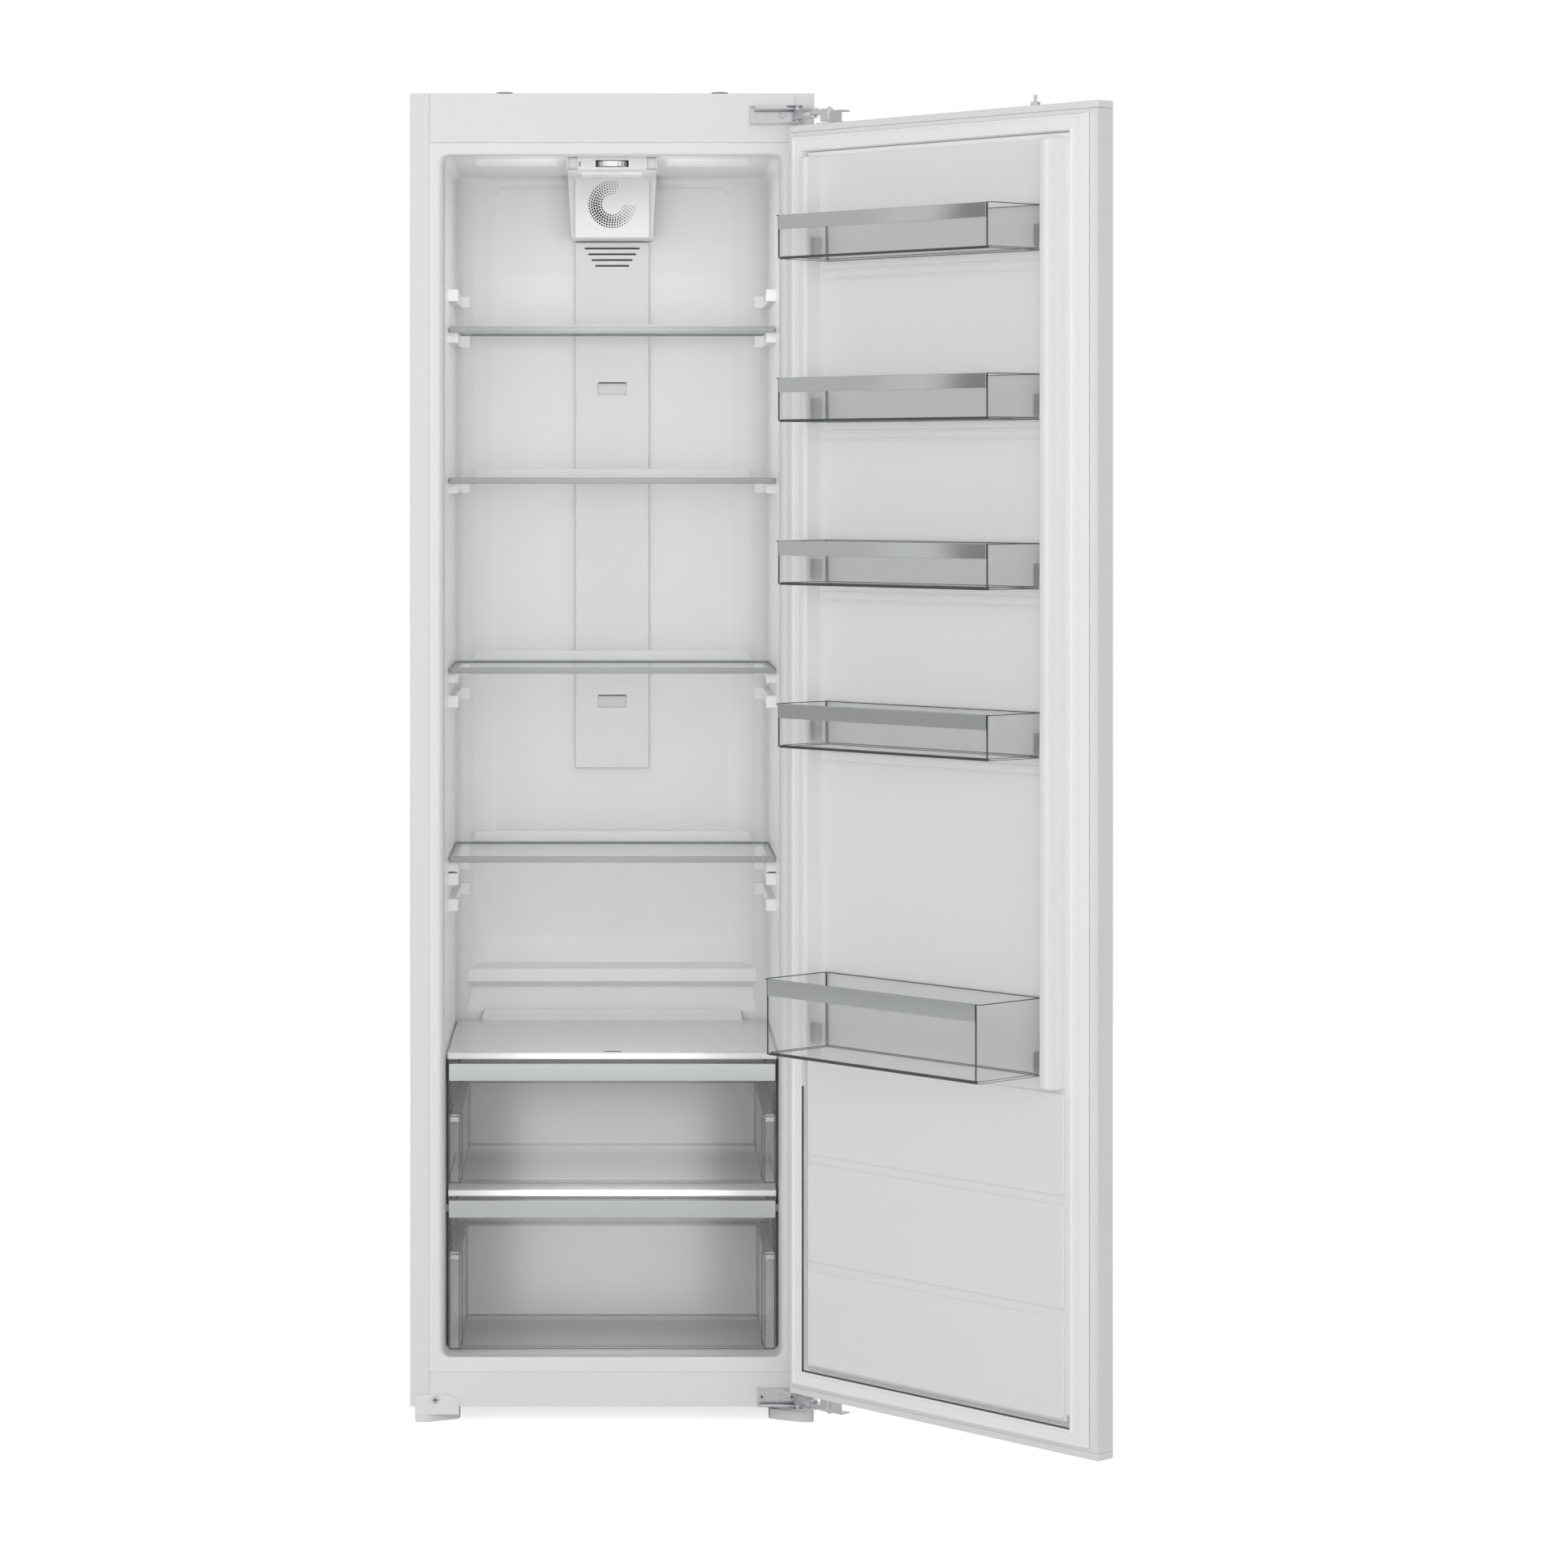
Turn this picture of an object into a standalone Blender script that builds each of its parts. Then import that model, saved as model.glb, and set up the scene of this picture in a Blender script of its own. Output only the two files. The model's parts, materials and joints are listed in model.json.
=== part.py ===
"""Built-in larder refrigerator with its door standing open.

The places below are measured from the cabinet's front: its face lies in Y = 0 and faces -Y, its
underside in Z = 0, and X = 0 is its middle. The cabinet's empty then moves everything, so that the
origin is the middle of the rear foot bar's sole, on the floor. The door's pieces are modelled as they
lie when the door is shut, round the door's pivot, and the pivot is then turned to the open door.
"""

import math

import bmesh
import bpy
from mathutils import Matrix, Vector

# Clearances
GAP = 0.0003  # between pieces that touch
OVERRUN = 0.012  # how far a cutter passes through
LAP = 0.0008  # how far joined shapes sink into each other

# Cabinet casing
CABINET_WIDTH = 0.540
CABINET_HEIGHT = 1.754
CABINET_DEPTH = 0.484
SHEET = 0.0008
SIDE_FLANGE = 0.0256
FRONT_PANEL = 0.002
TOP_PANEL_HEIGHT = 0.0655
BOTTOM_PANEL_HEIGHT = 0.0465
BUFFER_SPREAD = 0.288
BUFFER_RADIUS = 0.011
BUFFER_HEIGHT = 0.0025
BUFFER_SETBACK = 0.018

# Cabin, the cold space inside the liner
SIDE_WALL = 0.040
CABIN_TOP_WALL = 0.0822
CABIN_BOTTOM_WALL = 0.0662
REAR_WALL = 0.039
CABIN_CORNER = 0.010
CORNER_STEPS = 3
LINER_WALL = 0.002
LIP_DRAFT = 0.006
LIP_DEPTH = 0.010
WALL_DRAFT = 0.001
STEEP_FACET_WIDTH = 0.0245
STEEP_FACET_DEPTH = 0.045
SHALLOW_FACET_WIDTH = 0.028
SHALLOW_FACET_DEPTH = 0.015
HUMP_TOP = 0.583
# the moulded step of the rear wall, as shares of the cabin's depth and of the hump's top
HUMP_SHARES = ((1.009, 1.030), (0.980, 0.935), (0.939, 0.923), (0.933, 0.892), (0.960, 0.877),
               (0.948, 0.852), (0.928, 0.820))
COMPARTMENT_DEPTH = 0.154
COMPARTMENT_HEIGHT = 0.232
COMPARTMENT_INSULATION = 0.037

# Shelf supports on the liner
SUPPORT_REACH = 0.0133
SUPPORT_HEIGHT = 0.016
SUPPORT_BLOCK = 0.020
SUPPORT_RAIL_DROP = 0.006
SUPPORT_HOOK_REACH = 0.0215
SUPPORT_HOOK = 0.014
# the empty supports: the shelf next to each, counted from the lowest, and the step to it
EMPTY_SUPPORTS = ((0, -0.0538), (0, -0.0185), (1, -0.0337), (3, 0.0562))

# Glass shelves
# heights of the shelves' glass, as shares of the space between the rear wall's step and the ceiling
SHELF_LEVEL_SHARES = (0.12922, 0.36590, 0.60406, 0.79355)
SHELF_SIDE_GAP = 0.0025
SHELF_FRONT = 0.124
SHELF_REAR_GAP = 0.001  # to the start of the liner's rear facets
GLASS = 0.004
TRIM_DEPTH = 0.010
TRIM_HEIGHT = 0.008
TRIM_TOP_LIP = 0.0006
TRIM_GRIP = 0.0065
REAR_TRIM_INSET = 0.0225  # from the shelf's side
REAR_TRIM_DEPTH = 0.020
UPSTAND_HEIGHT = 0.0135
UPSTAND_THICKNESS = 0.0025

# Crisper cover and the drawers under it
CRISPER_TOP = 0.467
CRISPER_FRONT = 0.040
CRISPER_OVERHANG = 0.019  # past the start of the liner's rear facets
CRISPER_SIDE_GAP = 0.0035
CRISPER_TRIM_DEPTH = 0.018
CRISPER_TRIM_HEIGHT = 0.0085
DRAWER_SIDE_GAP = 0.0045
DRAWER_WALL = 0.0025
DRAWER_STEP_IN = 0.0145
DRAWER_HEADROOM = 0.003
DRAWER_TRIM = 0.003
DRAWER_TRIM_HEIGHT = 0.0234
DRAWER_TRIM_DROP = 0.0025
UPPER_DRAWER_HEIGHT = 0.1635
UPPER_DRAWER_SHOULDER = 0.0735
LOWER_DRAWER_SHOULDER = 0.075
LOWER_DRAWER_REAR_GAP = 0.009
DRAWER_FLOOR_GAP = 0.0025
DIVIDER_GAP = 0.0095
DIVIDER_HEIGHT = 0.008
DIVIDER_TRIM_DEPTH = 0.012
DIVIDER_PLATE = 0.004
RUNNER_HEIGHT = 0.010
RUNNER_FRONT = 0.060

# Cold air duct, fan and the control unit under the ceiling
DUCT_WIDTH = 0.1045
DUCT_THICKNESS = 0.012
DUCT_TOP_GAP = 0.002  # to the fan's housing
DUCT_BOTTOM_SHARE = 0.4726  # of the cabin's height
LOUVRE_COUNT = 4
LOUVRE_HEIGHT = 0.0028
LOUVRE_PITCH = 0.0083
LOUVRE_TOP_DROP = 0.007
LOUVRE_WIDTH = 0.0786
LOUVRE_STEP_IN = 0.005
FAN_HOUSING_TOP_WIDTH = 0.127
FAN_HOUSING_BOTTOM_WIDTH = 0.116
FAN_HOUSING_HEIGHT = 0.0915
FAN_HOUSING_DEPTH = 0.075
FAN_HOUSING_WALL = 0.004
FAN_CAVITY_DEPTH = 0.060
FAN_COVER_WIDTH = 0.106
FAN_COVER_HEIGHT = 0.089
FAN_COVER_THICKNESS = 0.0075
FAN_GRILLE_RINGS = 3
FAN_GRILLE_RADIUS = 0.032
FAN_GRILLE_BORE = 0.0022
FAN_GRILLE_BORES = 10
FAN_RADIUS = 0.034
FAN_HUB_RADIUS = 0.012
FAN_DEPTH = 0.014
FAN_BLADES = 7
FAN_BLADE_THICKNESS = 0.002
FAN_BLADE_PITCH = 0.6
FAN_FRONT_CLEARANCE = 0.008
FAN_SHAFT_RADIUS = 0.0025
FAN_SHAFT_DEPTH = 0.008
FAN_MOTOR_RADIUS = 0.018
CONTROL_WIDTH = 0.120
CONTROL_HEIGHT = 0.0165
CONTROL_FRONT = 0.038
CONTROL_DEPTH = 0.170
CONTROL_WINDOW_WIDTH = 0.044
CONTROL_WINDOW_HEIGHT = 0.0094
CONTROL_WINDOW_DEPTH = 0.046
DIAL_RADIUS = 0.0205
DIAL_HEIGHT = 0.0076
DIAL_NOTCHES = 20
DIAL_NOTCH = 0.0012

# Cooling circuit
COMPRESSOR_RADIUS = 0.064
COMPRESSOR_HEIGHT = 0.165
COMPRESSOR_LIFT = 0.016
COMPRESSOR_OFFSET = 0.080
COMPRESSOR_FOOT_SPREAD = 0.150
COMPRESSOR_FOOT_RADIUS = 0.011
COMPRESSOR_BASE = 0.003
CONDENSER_SIDE_INSET = 0.050
CONDENSER_BOTTOM = 0.300
CONDENSER_TOP_INSET = 0.194
CONDENSER_RUNS = 12
CONDENSER_TUBE = 0.0025
CONDENSER_STANDOFF = 0.009
CONDENSER_BAR = 0.012
CONDENSER_BAR_INSET = 0.012  # from the start of the bends
BEND_STEPS = 4
EVAPORATOR_WIDTH = 0.300
EVAPORATOR_BOTTOM_SHARE = 0.5069  # of the cabin's height
EVAPORATOR_HEIGHT_SHARE = 0.3737
EVAPORATOR_THICKNESS = 0.002

# Feet
FOOT_HEIGHT = 0.0205
FOOT_WIDTH = 0.059
LEFT_FOOT_INSET = 0.0067
RIGHT_FOOT_INSET = 0.0006
FOOT_DEPTH = 0.050
FOOT_PLATE = 0.0025
FOOT_PLATE_RISE = 0.0165
FOOT_STEP = 0.007
FOOT_STEP_IN = 0.010
# the feet's outline seen from above, as shares of their width and depth, from the outer side
FOOT_SHARES = ((0, 0.12), (0.04, 0.03), (0.12, 0), (0.30, 0.04), (0.92, 0.42), (0.98, 0.49), (1, 0.57),
               (1, 1), (0, 1))
REAR_FOOT_WIDTH = 0.480
REAR_FOOT_DEPTH = 0.026
REAR_FOOT_INSET = 0.008

# Door, as it lies when shut
DOOR_OVERHANG = 0.0015  # what the door is wider than the cabinet
DOOR_BOTTOM = 0.0335
DOOR_TOP_INSET = 0.0495
DOOR_THICKNESS = 0.0285
DOOR_CAP = 0.009
DOOR_FLANGE = 0.0135
DOOR_OPEN_ANGLE = math.radians(131.9)
PIVOT_INSET = 0.0046
PIVOT_FORWARD = 0.0508
GASKET_THICKNESS = 0.0137
GASKET_OUTER = 0.014
GASKET_INNER = 0.038
GASKET_FACE_INSET = 0.003
DOOR_LINER_WALL = 0.002
PAN_RISE = 0.010
PAN_INSET = 0.005  # from the gasket
DYKE_RISE = 0.036
DYKE_WIDTH = 0.0237  # at the foot
DYKE_TOP_WIDTH = 0.0142
DYKE_TOP_INSET = 0.002  # from the pan's top
DYKE_DROP = 0.012  # from the lowest balcony's floor to the dykes' foot

# Door balconies
BALCONY_MARGIN = 0.080
BALCONY_SETBACK = 0.0015  # from the door's pan
BALCONY_DEPTH = 0.0965
BALCONY_HEIGHT = 0.057
BOTTLE_BALCONY_DEPTH = 0.1165
BOTTLE_BALCONY_HEIGHT = 0.098
BALCONY_WALL = 0.0022
BALCONY_CORNER = 0.008
BALCONY_CORNER_STEPS = 3
BALCONY_LOWEST = 0.499
BALCONY_TOP_DROP = 0.182  # from the door's top to the highest balcony's floor
BALCONY_PITCH_SHARE = 0.20498  # of the way from the lowest balcony to the highest
BALCONY_COUNT = 4
BALCONY_PLAY = 0.0005  # between a lug and the liner's dyke
BALCONY_LUG_HEIGHT = 0.030
BALCONY_LUG_DEPTH = 0.009

# Hinges
HINGE_CLEARANCE = 0.0082
HINGE_HEIGHT = 0.0240
HINGE_SHEET = 0.0015
LOWER_PLATE_START = 0.0764  # from the cabinet's side to the plate's far end
UPPER_PLATE_START = 0.0866
HINGE_PLATE_END = 0.0160
HINGE_FLANGE_DEPTH = 0.008
HINGE_EAR_WIDTH = 0.0125
HINGE_KEYHOLE_RADIUS = 0.0048
HINGE_KEYHOLE_REACH = 0.0423
HINGE_PIN = 0.0025
HINGE_RUNNING_GAP = 0.0004
ARM_PIN_INSET = 0.0236
ARM_PIN_FORWARD = 0.0220
ELBOW_SIDE = 0.0200  # from the arm's pin to the elbow, with the door open
ELBOW_FORWARD = 0.0397
LINK_PIN_ALONG = 0.0481  # from the cabinet's side, with the door shut
LINK_PIN_DEPTH = 0.0252  # from the door's inner face
LOWER_ARM_OFFSET = 0.0110  # from the door's edge
UPPER_ARM_OFFSET = 0.0122
ARM_HEIGHT = 0.0126
ARM_WIDTH = 0.011
ARM_EAR = 0.0026
ARM_SLOT = 0.020
LINK_WIDTH = 0.010
LINK_BLOCK_OFFSET = 0.0055  # from the door's edge
LINK_BLOCK_SHARE = 0.35  # of the link's length
ELBOW_PIN = 0.0018
ELBOW_CLEARANCE = 0.0007
EYE_STEPS = 8
BRACKET_SHEET = 0.002
BRACKET_START = 0.036
BRACKET_LENGTH = 0.047
BRACKET_HEIGHT = 0.0175
BRACKET_INNER = 0.0115
BRACKET_DEPTH = 0.0165
BRACKET_WEB_OFFSET = 0.016

ROUND_SIDES = 16
TUBE_SIDES = 6

# Worked out from the sizes above
HALF_WIDTH = CABINET_WIDTH / 2
INNER_HALF = HALF_WIDTH - SHEET - GAP
PANEL_HALF = HALF_WIDTH - SIDE_FLANGE - GAP
FRONT_BACK = FRONT_PANEL + GAP  # the plane just behind the front panels and the liner's flange
CABIN_TOP = CABINET_HEIGHT - CABIN_TOP_WALL
CABIN_BOTTOM = CABIN_BOTTOM_WALL
CABIN_HEIGHT = CABIN_TOP - CABIN_BOTTOM
CABIN_DEPTH = CABINET_DEPTH - REAR_WALL
CABIN_HALF = HALF_WIDTH - SIDE_WALL
WALL_HALF = CABIN_HALF - LIP_DRAFT
FACET_START = CABIN_DEPTH - STEEP_FACET_DEPTH - SHALLOW_FACET_DEPTH
STEP_FRONT = CABINET_DEPTH - COMPARTMENT_DEPTH - COMPARTMENT_INSULATION
STEP_TOP = COMPARTMENT_HEIGHT + COMPARTMENT_INSULATION
COMPARTMENT_FRONT = CABINET_DEPTH - COMPARTMENT_DEPTH
SUPPORT_REAR = FACET_START
SHELF_WIDTH = 2 * (WALL_HALF - SHELF_SIDE_GAP)
SHELF_REAR = FACET_START - SHELF_REAR_GAP
REAR_TRIM_WIDTH = SHELF_WIDTH - 2 * REAR_TRIM_INSET
CRISPER_WIDTH = 2 * (WALL_HALF - CRISPER_SIDE_GAP)
CRISPER_REAR = FACET_START + CRISPER_OVERHANG
DRAWER_WIDTH = 2 * (WALL_HALF - DRAWER_SIDE_GAP)
UPPER_DRAWER_DEPTH = FACET_START - CRISPER_FRONT
LOWER_DRAWER_DEPTH = STEP_FRONT - LOWER_DRAWER_REAR_GAP - CRISPER_FRONT
CONDENSER_WIDTH = CABINET_WIDTH - 2 * CONDENSER_SIDE_INSET
CONDENSER_TOP = CABINET_HEIGHT - CONDENSER_TOP_INSET
EVAPORATOR_BOTTOM = CABIN_BOTTOM + EVAPORATOR_BOTTOM_SHARE * CABIN_HEIGHT
EVAPORATOR_HEIGHT = EVAPORATOR_HEIGHT_SHARE * CABIN_HEIGHT
DOOR_WIDTH = CABINET_WIDTH + DOOR_OVERHANG
DOOR_HALF = DOOR_WIDTH / 2
DOOR_TOP = CABINET_HEIGHT - DOOR_TOP_INSET
DOOR_HEIGHT = DOOR_TOP - DOOR_BOTTOM
DYKE_BOTTOM = BALCONY_LOWEST - DYKE_DROP
BALCONY_HIGHEST = DOOR_TOP - BALCONY_TOP_DROP
PAN_MARGIN = GASKET_INNER + PAN_INSET
DYKE_INNER = PAN_MARGIN + DYKE_WIDTH
BALCONY_PITCH = BALCONY_PITCH_SHARE * (BALCONY_HIGHEST - BALCONY_LOWEST)
DOOR_INNER = -GAP - GASKET_THICKNESS  # the door's inner face when it is shut
DOOR_OUTER = DOOR_INNER - DOOR_THICKNESS
PIVOT = Vector((HALF_WIDTH - PIVOT_INSET, -PIVOT_FORWARD, 0))
ARM_PIN = Vector((HALF_WIDTH - ARM_PIN_INSET, -ARM_PIN_FORWARD, 0))
ELBOW = ARM_PIN + Vector((ELBOW_SIDE, -ELBOW_FORWARD, 0))
LINK_PIN = Vector((HALF_WIDTH - LINK_PIN_ALONG, DOOR_INNER - LINK_PIN_DEPTH, 0))
UPPER_DRAWER_TOP = CRISPER_TOP - CRISPER_TRIM_HEIGHT - DRAWER_HEADROOM
UPPER_DRAWER_BOTTOM = UPPER_DRAWER_TOP - UPPER_DRAWER_HEIGHT
DIVIDER_TOP = UPPER_DRAWER_BOTTOM - DIVIDER_GAP
LOWER_DRAWER_TOP = DIVIDER_TOP - DIVIDER_HEIGHT - DRAWER_HEADROOM
LOWER_DRAWER_BOTTOM = CABIN_BOTTOM + DRAWER_FLOOR_GAP
FAN_HOUSING_BOTTOM = CABIN_TOP - GAP - FAN_HOUSING_HEIGHT
FAN_HOUSING_FRONT = CABIN_DEPTH - FAN_HOUSING_DEPTH
FAN_CENTRE = FAN_HOUSING_BOTTOM + FAN_HOUSING_HEIGHT / 2
DUCT_TOP = FAN_HOUSING_BOTTOM - DUCT_TOP_GAP
DUCT_BOTTOM = CABIN_BOTTOM + DUCT_BOTTOM_SHARE * CABIN_HEIGHT

# Finishes: colour, roughness, metallic, alpha
FINISHES = {
    "white_steel": ((0.79, 0.79, 0.77), 0.35, 0.0, 1.0),
    "white_plastic": ((0.72, 0.72, 0.71), 0.40, 0.0, 1.0),
    "liner_plastic": ((0.64, 0.64, 0.63), 0.32, 0.0, 1.0),
    "galvanised_steel": ((0.50, 0.51, 0.52), 0.45, 0.9, 1.0),
    "insulation": ((0.78, 0.68, 0.42), 0.90, 0.0, 1.0),
    "shelf_glass": ((0.80, 0.88, 0.86), 0.05, 0.0, 0.35),
    "smoky_clear": ((0.45, 0.47, 0.48), 0.08, 0.0, 0.45),
    "silver_trim": ((0.52, 0.55, 0.56), 0.30, 0.6, 1.0),
    "chromed_steel": ((0.62, 0.63, 0.64), 0.22, 1.0, 1.0),
    "black_enamel": ((0.02, 0.02, 0.02), 0.35, 0.0, 1.0),
    "aluminium": ((0.70, 0.71, 0.72), 0.40, 1.0, 1.0),
    "gasket_rubber": ((0.66, 0.66, 0.65), 0.60, 0.0, 1.0),
}

HOMES = {}


def material(finish):
    """The finish's material, made the first time that it is asked for."""
    if finish in bpy.data.materials:
        return bpy.data.materials[finish]
    colour, roughness, metallic, alpha = FINISHES[finish]
    made = bpy.data.materials.new(finish)
    made.use_nodes = True
    shader = made.node_tree.nodes["Principled BSDF"]
    shader.inputs["Base Color"].default_value = (*colour, 1.0)
    shader.inputs["Roughness"].default_value = roughness
    shader.inputs["Metallic"].default_value = metallic
    shader.inputs["Alpha"].default_value = alpha
    return made


def joint_frame(name, at, parent=None, turn=0.0):
    """An empty on a joint's axis, placed with the door shut and then turned."""
    parent = parent or bpy.data.objects.get("cabinet")
    frame = bpy.data.objects.new(name, None)
    bpy.context.scene.collection.objects.link(frame)
    frame.parent = parent
    frame.location = at - (HOMES[parent.name] if parent else Vector())
    frame.rotation_euler.z = turn
    HOMES[name] = at.copy()
    return frame


def piece(name, shape, finish=None, frame=None):
    """The shape as an object of its own, carried by a frame or else by the cabinet."""
    frame = frame or bpy.data.objects["cabinet"]
    bmesh.ops.translate(shape, verts=shape.verts, vec=-HOMES[frame.name])
    bmesh.ops.recalc_face_normals(shape, faces=shape.faces)
    mesh = bpy.data.meshes.new(name)
    shape.to_mesh(mesh)
    shape.free()
    made = bpy.data.objects.new(name, mesh)
    bpy.context.scene.collection.objects.link(made)
    made.parent = frame
    if finish:
        mesh.materials.append(material(finish))
        mesh.shade_smooth()
        mesh.set_sharp_from_angle(angle=math.radians(35))
    return made


def combine(target, shape, operation):
    """Add a shape to an object, or cut it out, through a hidden helper."""
    helper = piece(f"{target.name}.{operation.lower()}.{len(target.modifiers)}", shape, frame=target.parent)
    helper.hide_render = True
    helper.display_type = "WIRE"
    change = target.modifiers.new(helper.name, "BOOLEAN")
    change.operation = operation
    change.solver = "EXACT"
    change.object = helper


def add_prism(shape, outline, axis, start, end):
    """Add an outline, pulled along an axis. Its points are the other two coordinates, in order."""
    places = {
        "X": lambda a, b, along: (along, a, b),
        "Y": lambda a, b, along: (a, along, b),
        "Z": lambda a, b, along: (a, b, along),
    }[axis]
    first = [shape.verts.new(places(a, b, start)) for a, b in outline]
    last = [shape.verts.new(places(a, b, end)) for a, b in outline]
    shape.faces.new(first)
    shape.faces.new(last)
    for i in range(len(outline)):
        j = (i + 1) % len(outline)
        shape.faces.new((first[i], first[j], last[j], last[i]))
    return shape


def prism(outline, axis, start, end):
    return add_prism(bmesh.new(), outline, axis, start, end)


def add_box(shape, low, high):
    corners = ((low[0], low[1]), (high[0], low[1]), (high[0], high[1]), (low[0], high[1]))
    return add_prism(shape, corners, "Z", low[2], high[2])


def box(low, high):
    return add_box(bmesh.new(), low, high)


def circle(centre, radius, sides=ROUND_SIDES, start=0.0, sweep=math.tau):
    """Points on a circle, or on a part of one, where both ends are then counted."""
    steps = sides if sweep >= math.tau else sides - 1
    return [
        (centre[0] + radius * math.cos(start + sweep * i / steps),
         centre[1] + radius * math.sin(start + sweep * i / steps))
        for i in range(sides)
    ]


def rounded(low, high, radius, steps):
    """A rectangle's outline with round corners."""
    corners = (
        ((high[0] - radius, low[1] + radius), -math.pi / 2),
        ((high[0] - radius, high[1] - radius), 0.0),
        ((low[0] + radius, high[1] - radius), math.pi / 2),
        ((low[0] + radius, low[1] + radius), math.pi),
    )
    points = []
    for centre, start in corners:
        points += circle(centre, radius, steps + 1, start, math.pi / 2)
    return points


def grown(outline, margin):
    """A closed outline, counter-clockwise, with every side moved outwards by a margin."""
    moved = []
    count = len(outline)
    for i in range(count):
        before, here, after = (Vector(outline[(i + k) % count]) for k in (-1, 0, 1))
        into, away = (here - before).normalized(), (after - here).normalized()
        normal_in, normal_out = Vector((into.y, -into.x)), Vector((away.y, -away.x))
        corner = (normal_in + normal_out) / (1 + normal_in.dot(normal_out))
        moved.append(tuple(here + corner * margin))
    return moved


def mirrored(points):
    """A half outline, from the front to the back at +X, closed with its other half."""
    return points + [(-x, y) for x, y in reversed(points)]


def cabin_plan(margin, front):
    """The cabin's outline seen from above, grown by a margin, with its mouth at a given Y."""
    half = [
        (CABIN_HALF, -OVERRUN),
        (CABIN_HALF, 0),
        (WALL_HALF, LIP_DEPTH),
        (WALL_HALF - WALL_DRAFT, FACET_START),
        (WALL_HALF - WALL_DRAFT - STEEP_FACET_WIDTH, FACET_START + STEEP_FACET_DEPTH),
        (WALL_HALF - WALL_DRAFT - STEEP_FACET_WIDTH - SHALLOW_FACET_WIDTH, CABIN_DEPTH),
    ]
    outline = grown(mirrored(half), margin)
    outline[0] = (outline[0][0], front)
    outline[-1] = (outline[-1][0], front)
    return outline


def hump_outline(margin):
    """What the rear wall's step takes from the cabin, as Y and Z, shrunk by a margin."""
    behind, below = CABINET_DEPTH + OVERRUN, CABIN_BOTTOM - CABIN_BOTTOM_WALL
    step = [(y * CABIN_DEPTH, z * HUMP_TOP) for y, z in HUMP_SHARES]
    shoulder = STEP_TOP + COMPARTMENT_INSULATION / 4
    foot = [(step[-1][0], shoulder), (STEP_FRONT, STEP_TOP), (STEP_FRONT, below)]
    return grown(step + foot + [(behind, below), (behind, step[0][1])], -margin)


def skin(shape, loops):
    """Close a run of loops with the same number of points into a solid."""
    rings = [[shape.verts.new(point) for point in loop] for loop in loops]
    for first, second in zip(rings, rings[1:]):
        for i in range(len(first)):
            j = (i + 1) % len(first)
            shape.faces.new((first[i], first[j], second[j], second[i]))
    shape.faces.new(rings[0])
    shape.faces.new(rings[-1])
    return shape


def cabin(margin, front):
    """The cabin's air, grown by a margin, as a helper object for cutting and joining."""
    radius = CABIN_CORNER + margin
    quarter = [math.pi / 2 * i / CORNER_STEPS for i in range(CORNER_STEPS + 1)]
    curve = [(radius * (1 - math.sin(a)), radius * (1 - math.cos(a))) for a in quarter]
    rings = [(margin - inset, CABIN_BOTTOM - margin + rise) for inset, rise in curve]
    rings += [(margin - inset, CABIN_TOP + margin - rise) for inset, rise in reversed(curve)]
    air = skin(bmesh.new(), [[(x, y, z) for x, y in cabin_plan(reach, front)] for reach, z in rings])
    helper = piece(f"cabin_air.{margin:.4f}.{front:.3f}", air)
    combine(helper, prism(hump_outline(margin), "X", -HALF_WIDTH, HALF_WIDTH), "DIFFERENCE")
    helper.hide_render = True
    helper.display_type = "WIRE"
    return helper


def attach(target, helper, operation):
    """Use a helper that is an object already."""
    change = target.modifiers.new(helper.name, "BOOLEAN")
    change.operation = operation
    change.solver = "EXACT"
    change.object = helper


def level(share):
    """A height above the rear wall's step, from its share of the way to the ceiling."""
    return HUMP_TOP + share * (CABIN_TOP - HUMP_TOP)


def support_levels():
    """The heights that the shelves' supports and the empty ones serve."""
    shelf_levels = [level(share) for share in SHELF_LEVEL_SHARES]
    return shelf_levels + [shelf_levels[shelf] + step for shelf, step in EMPTY_SUPPORTS]


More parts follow.
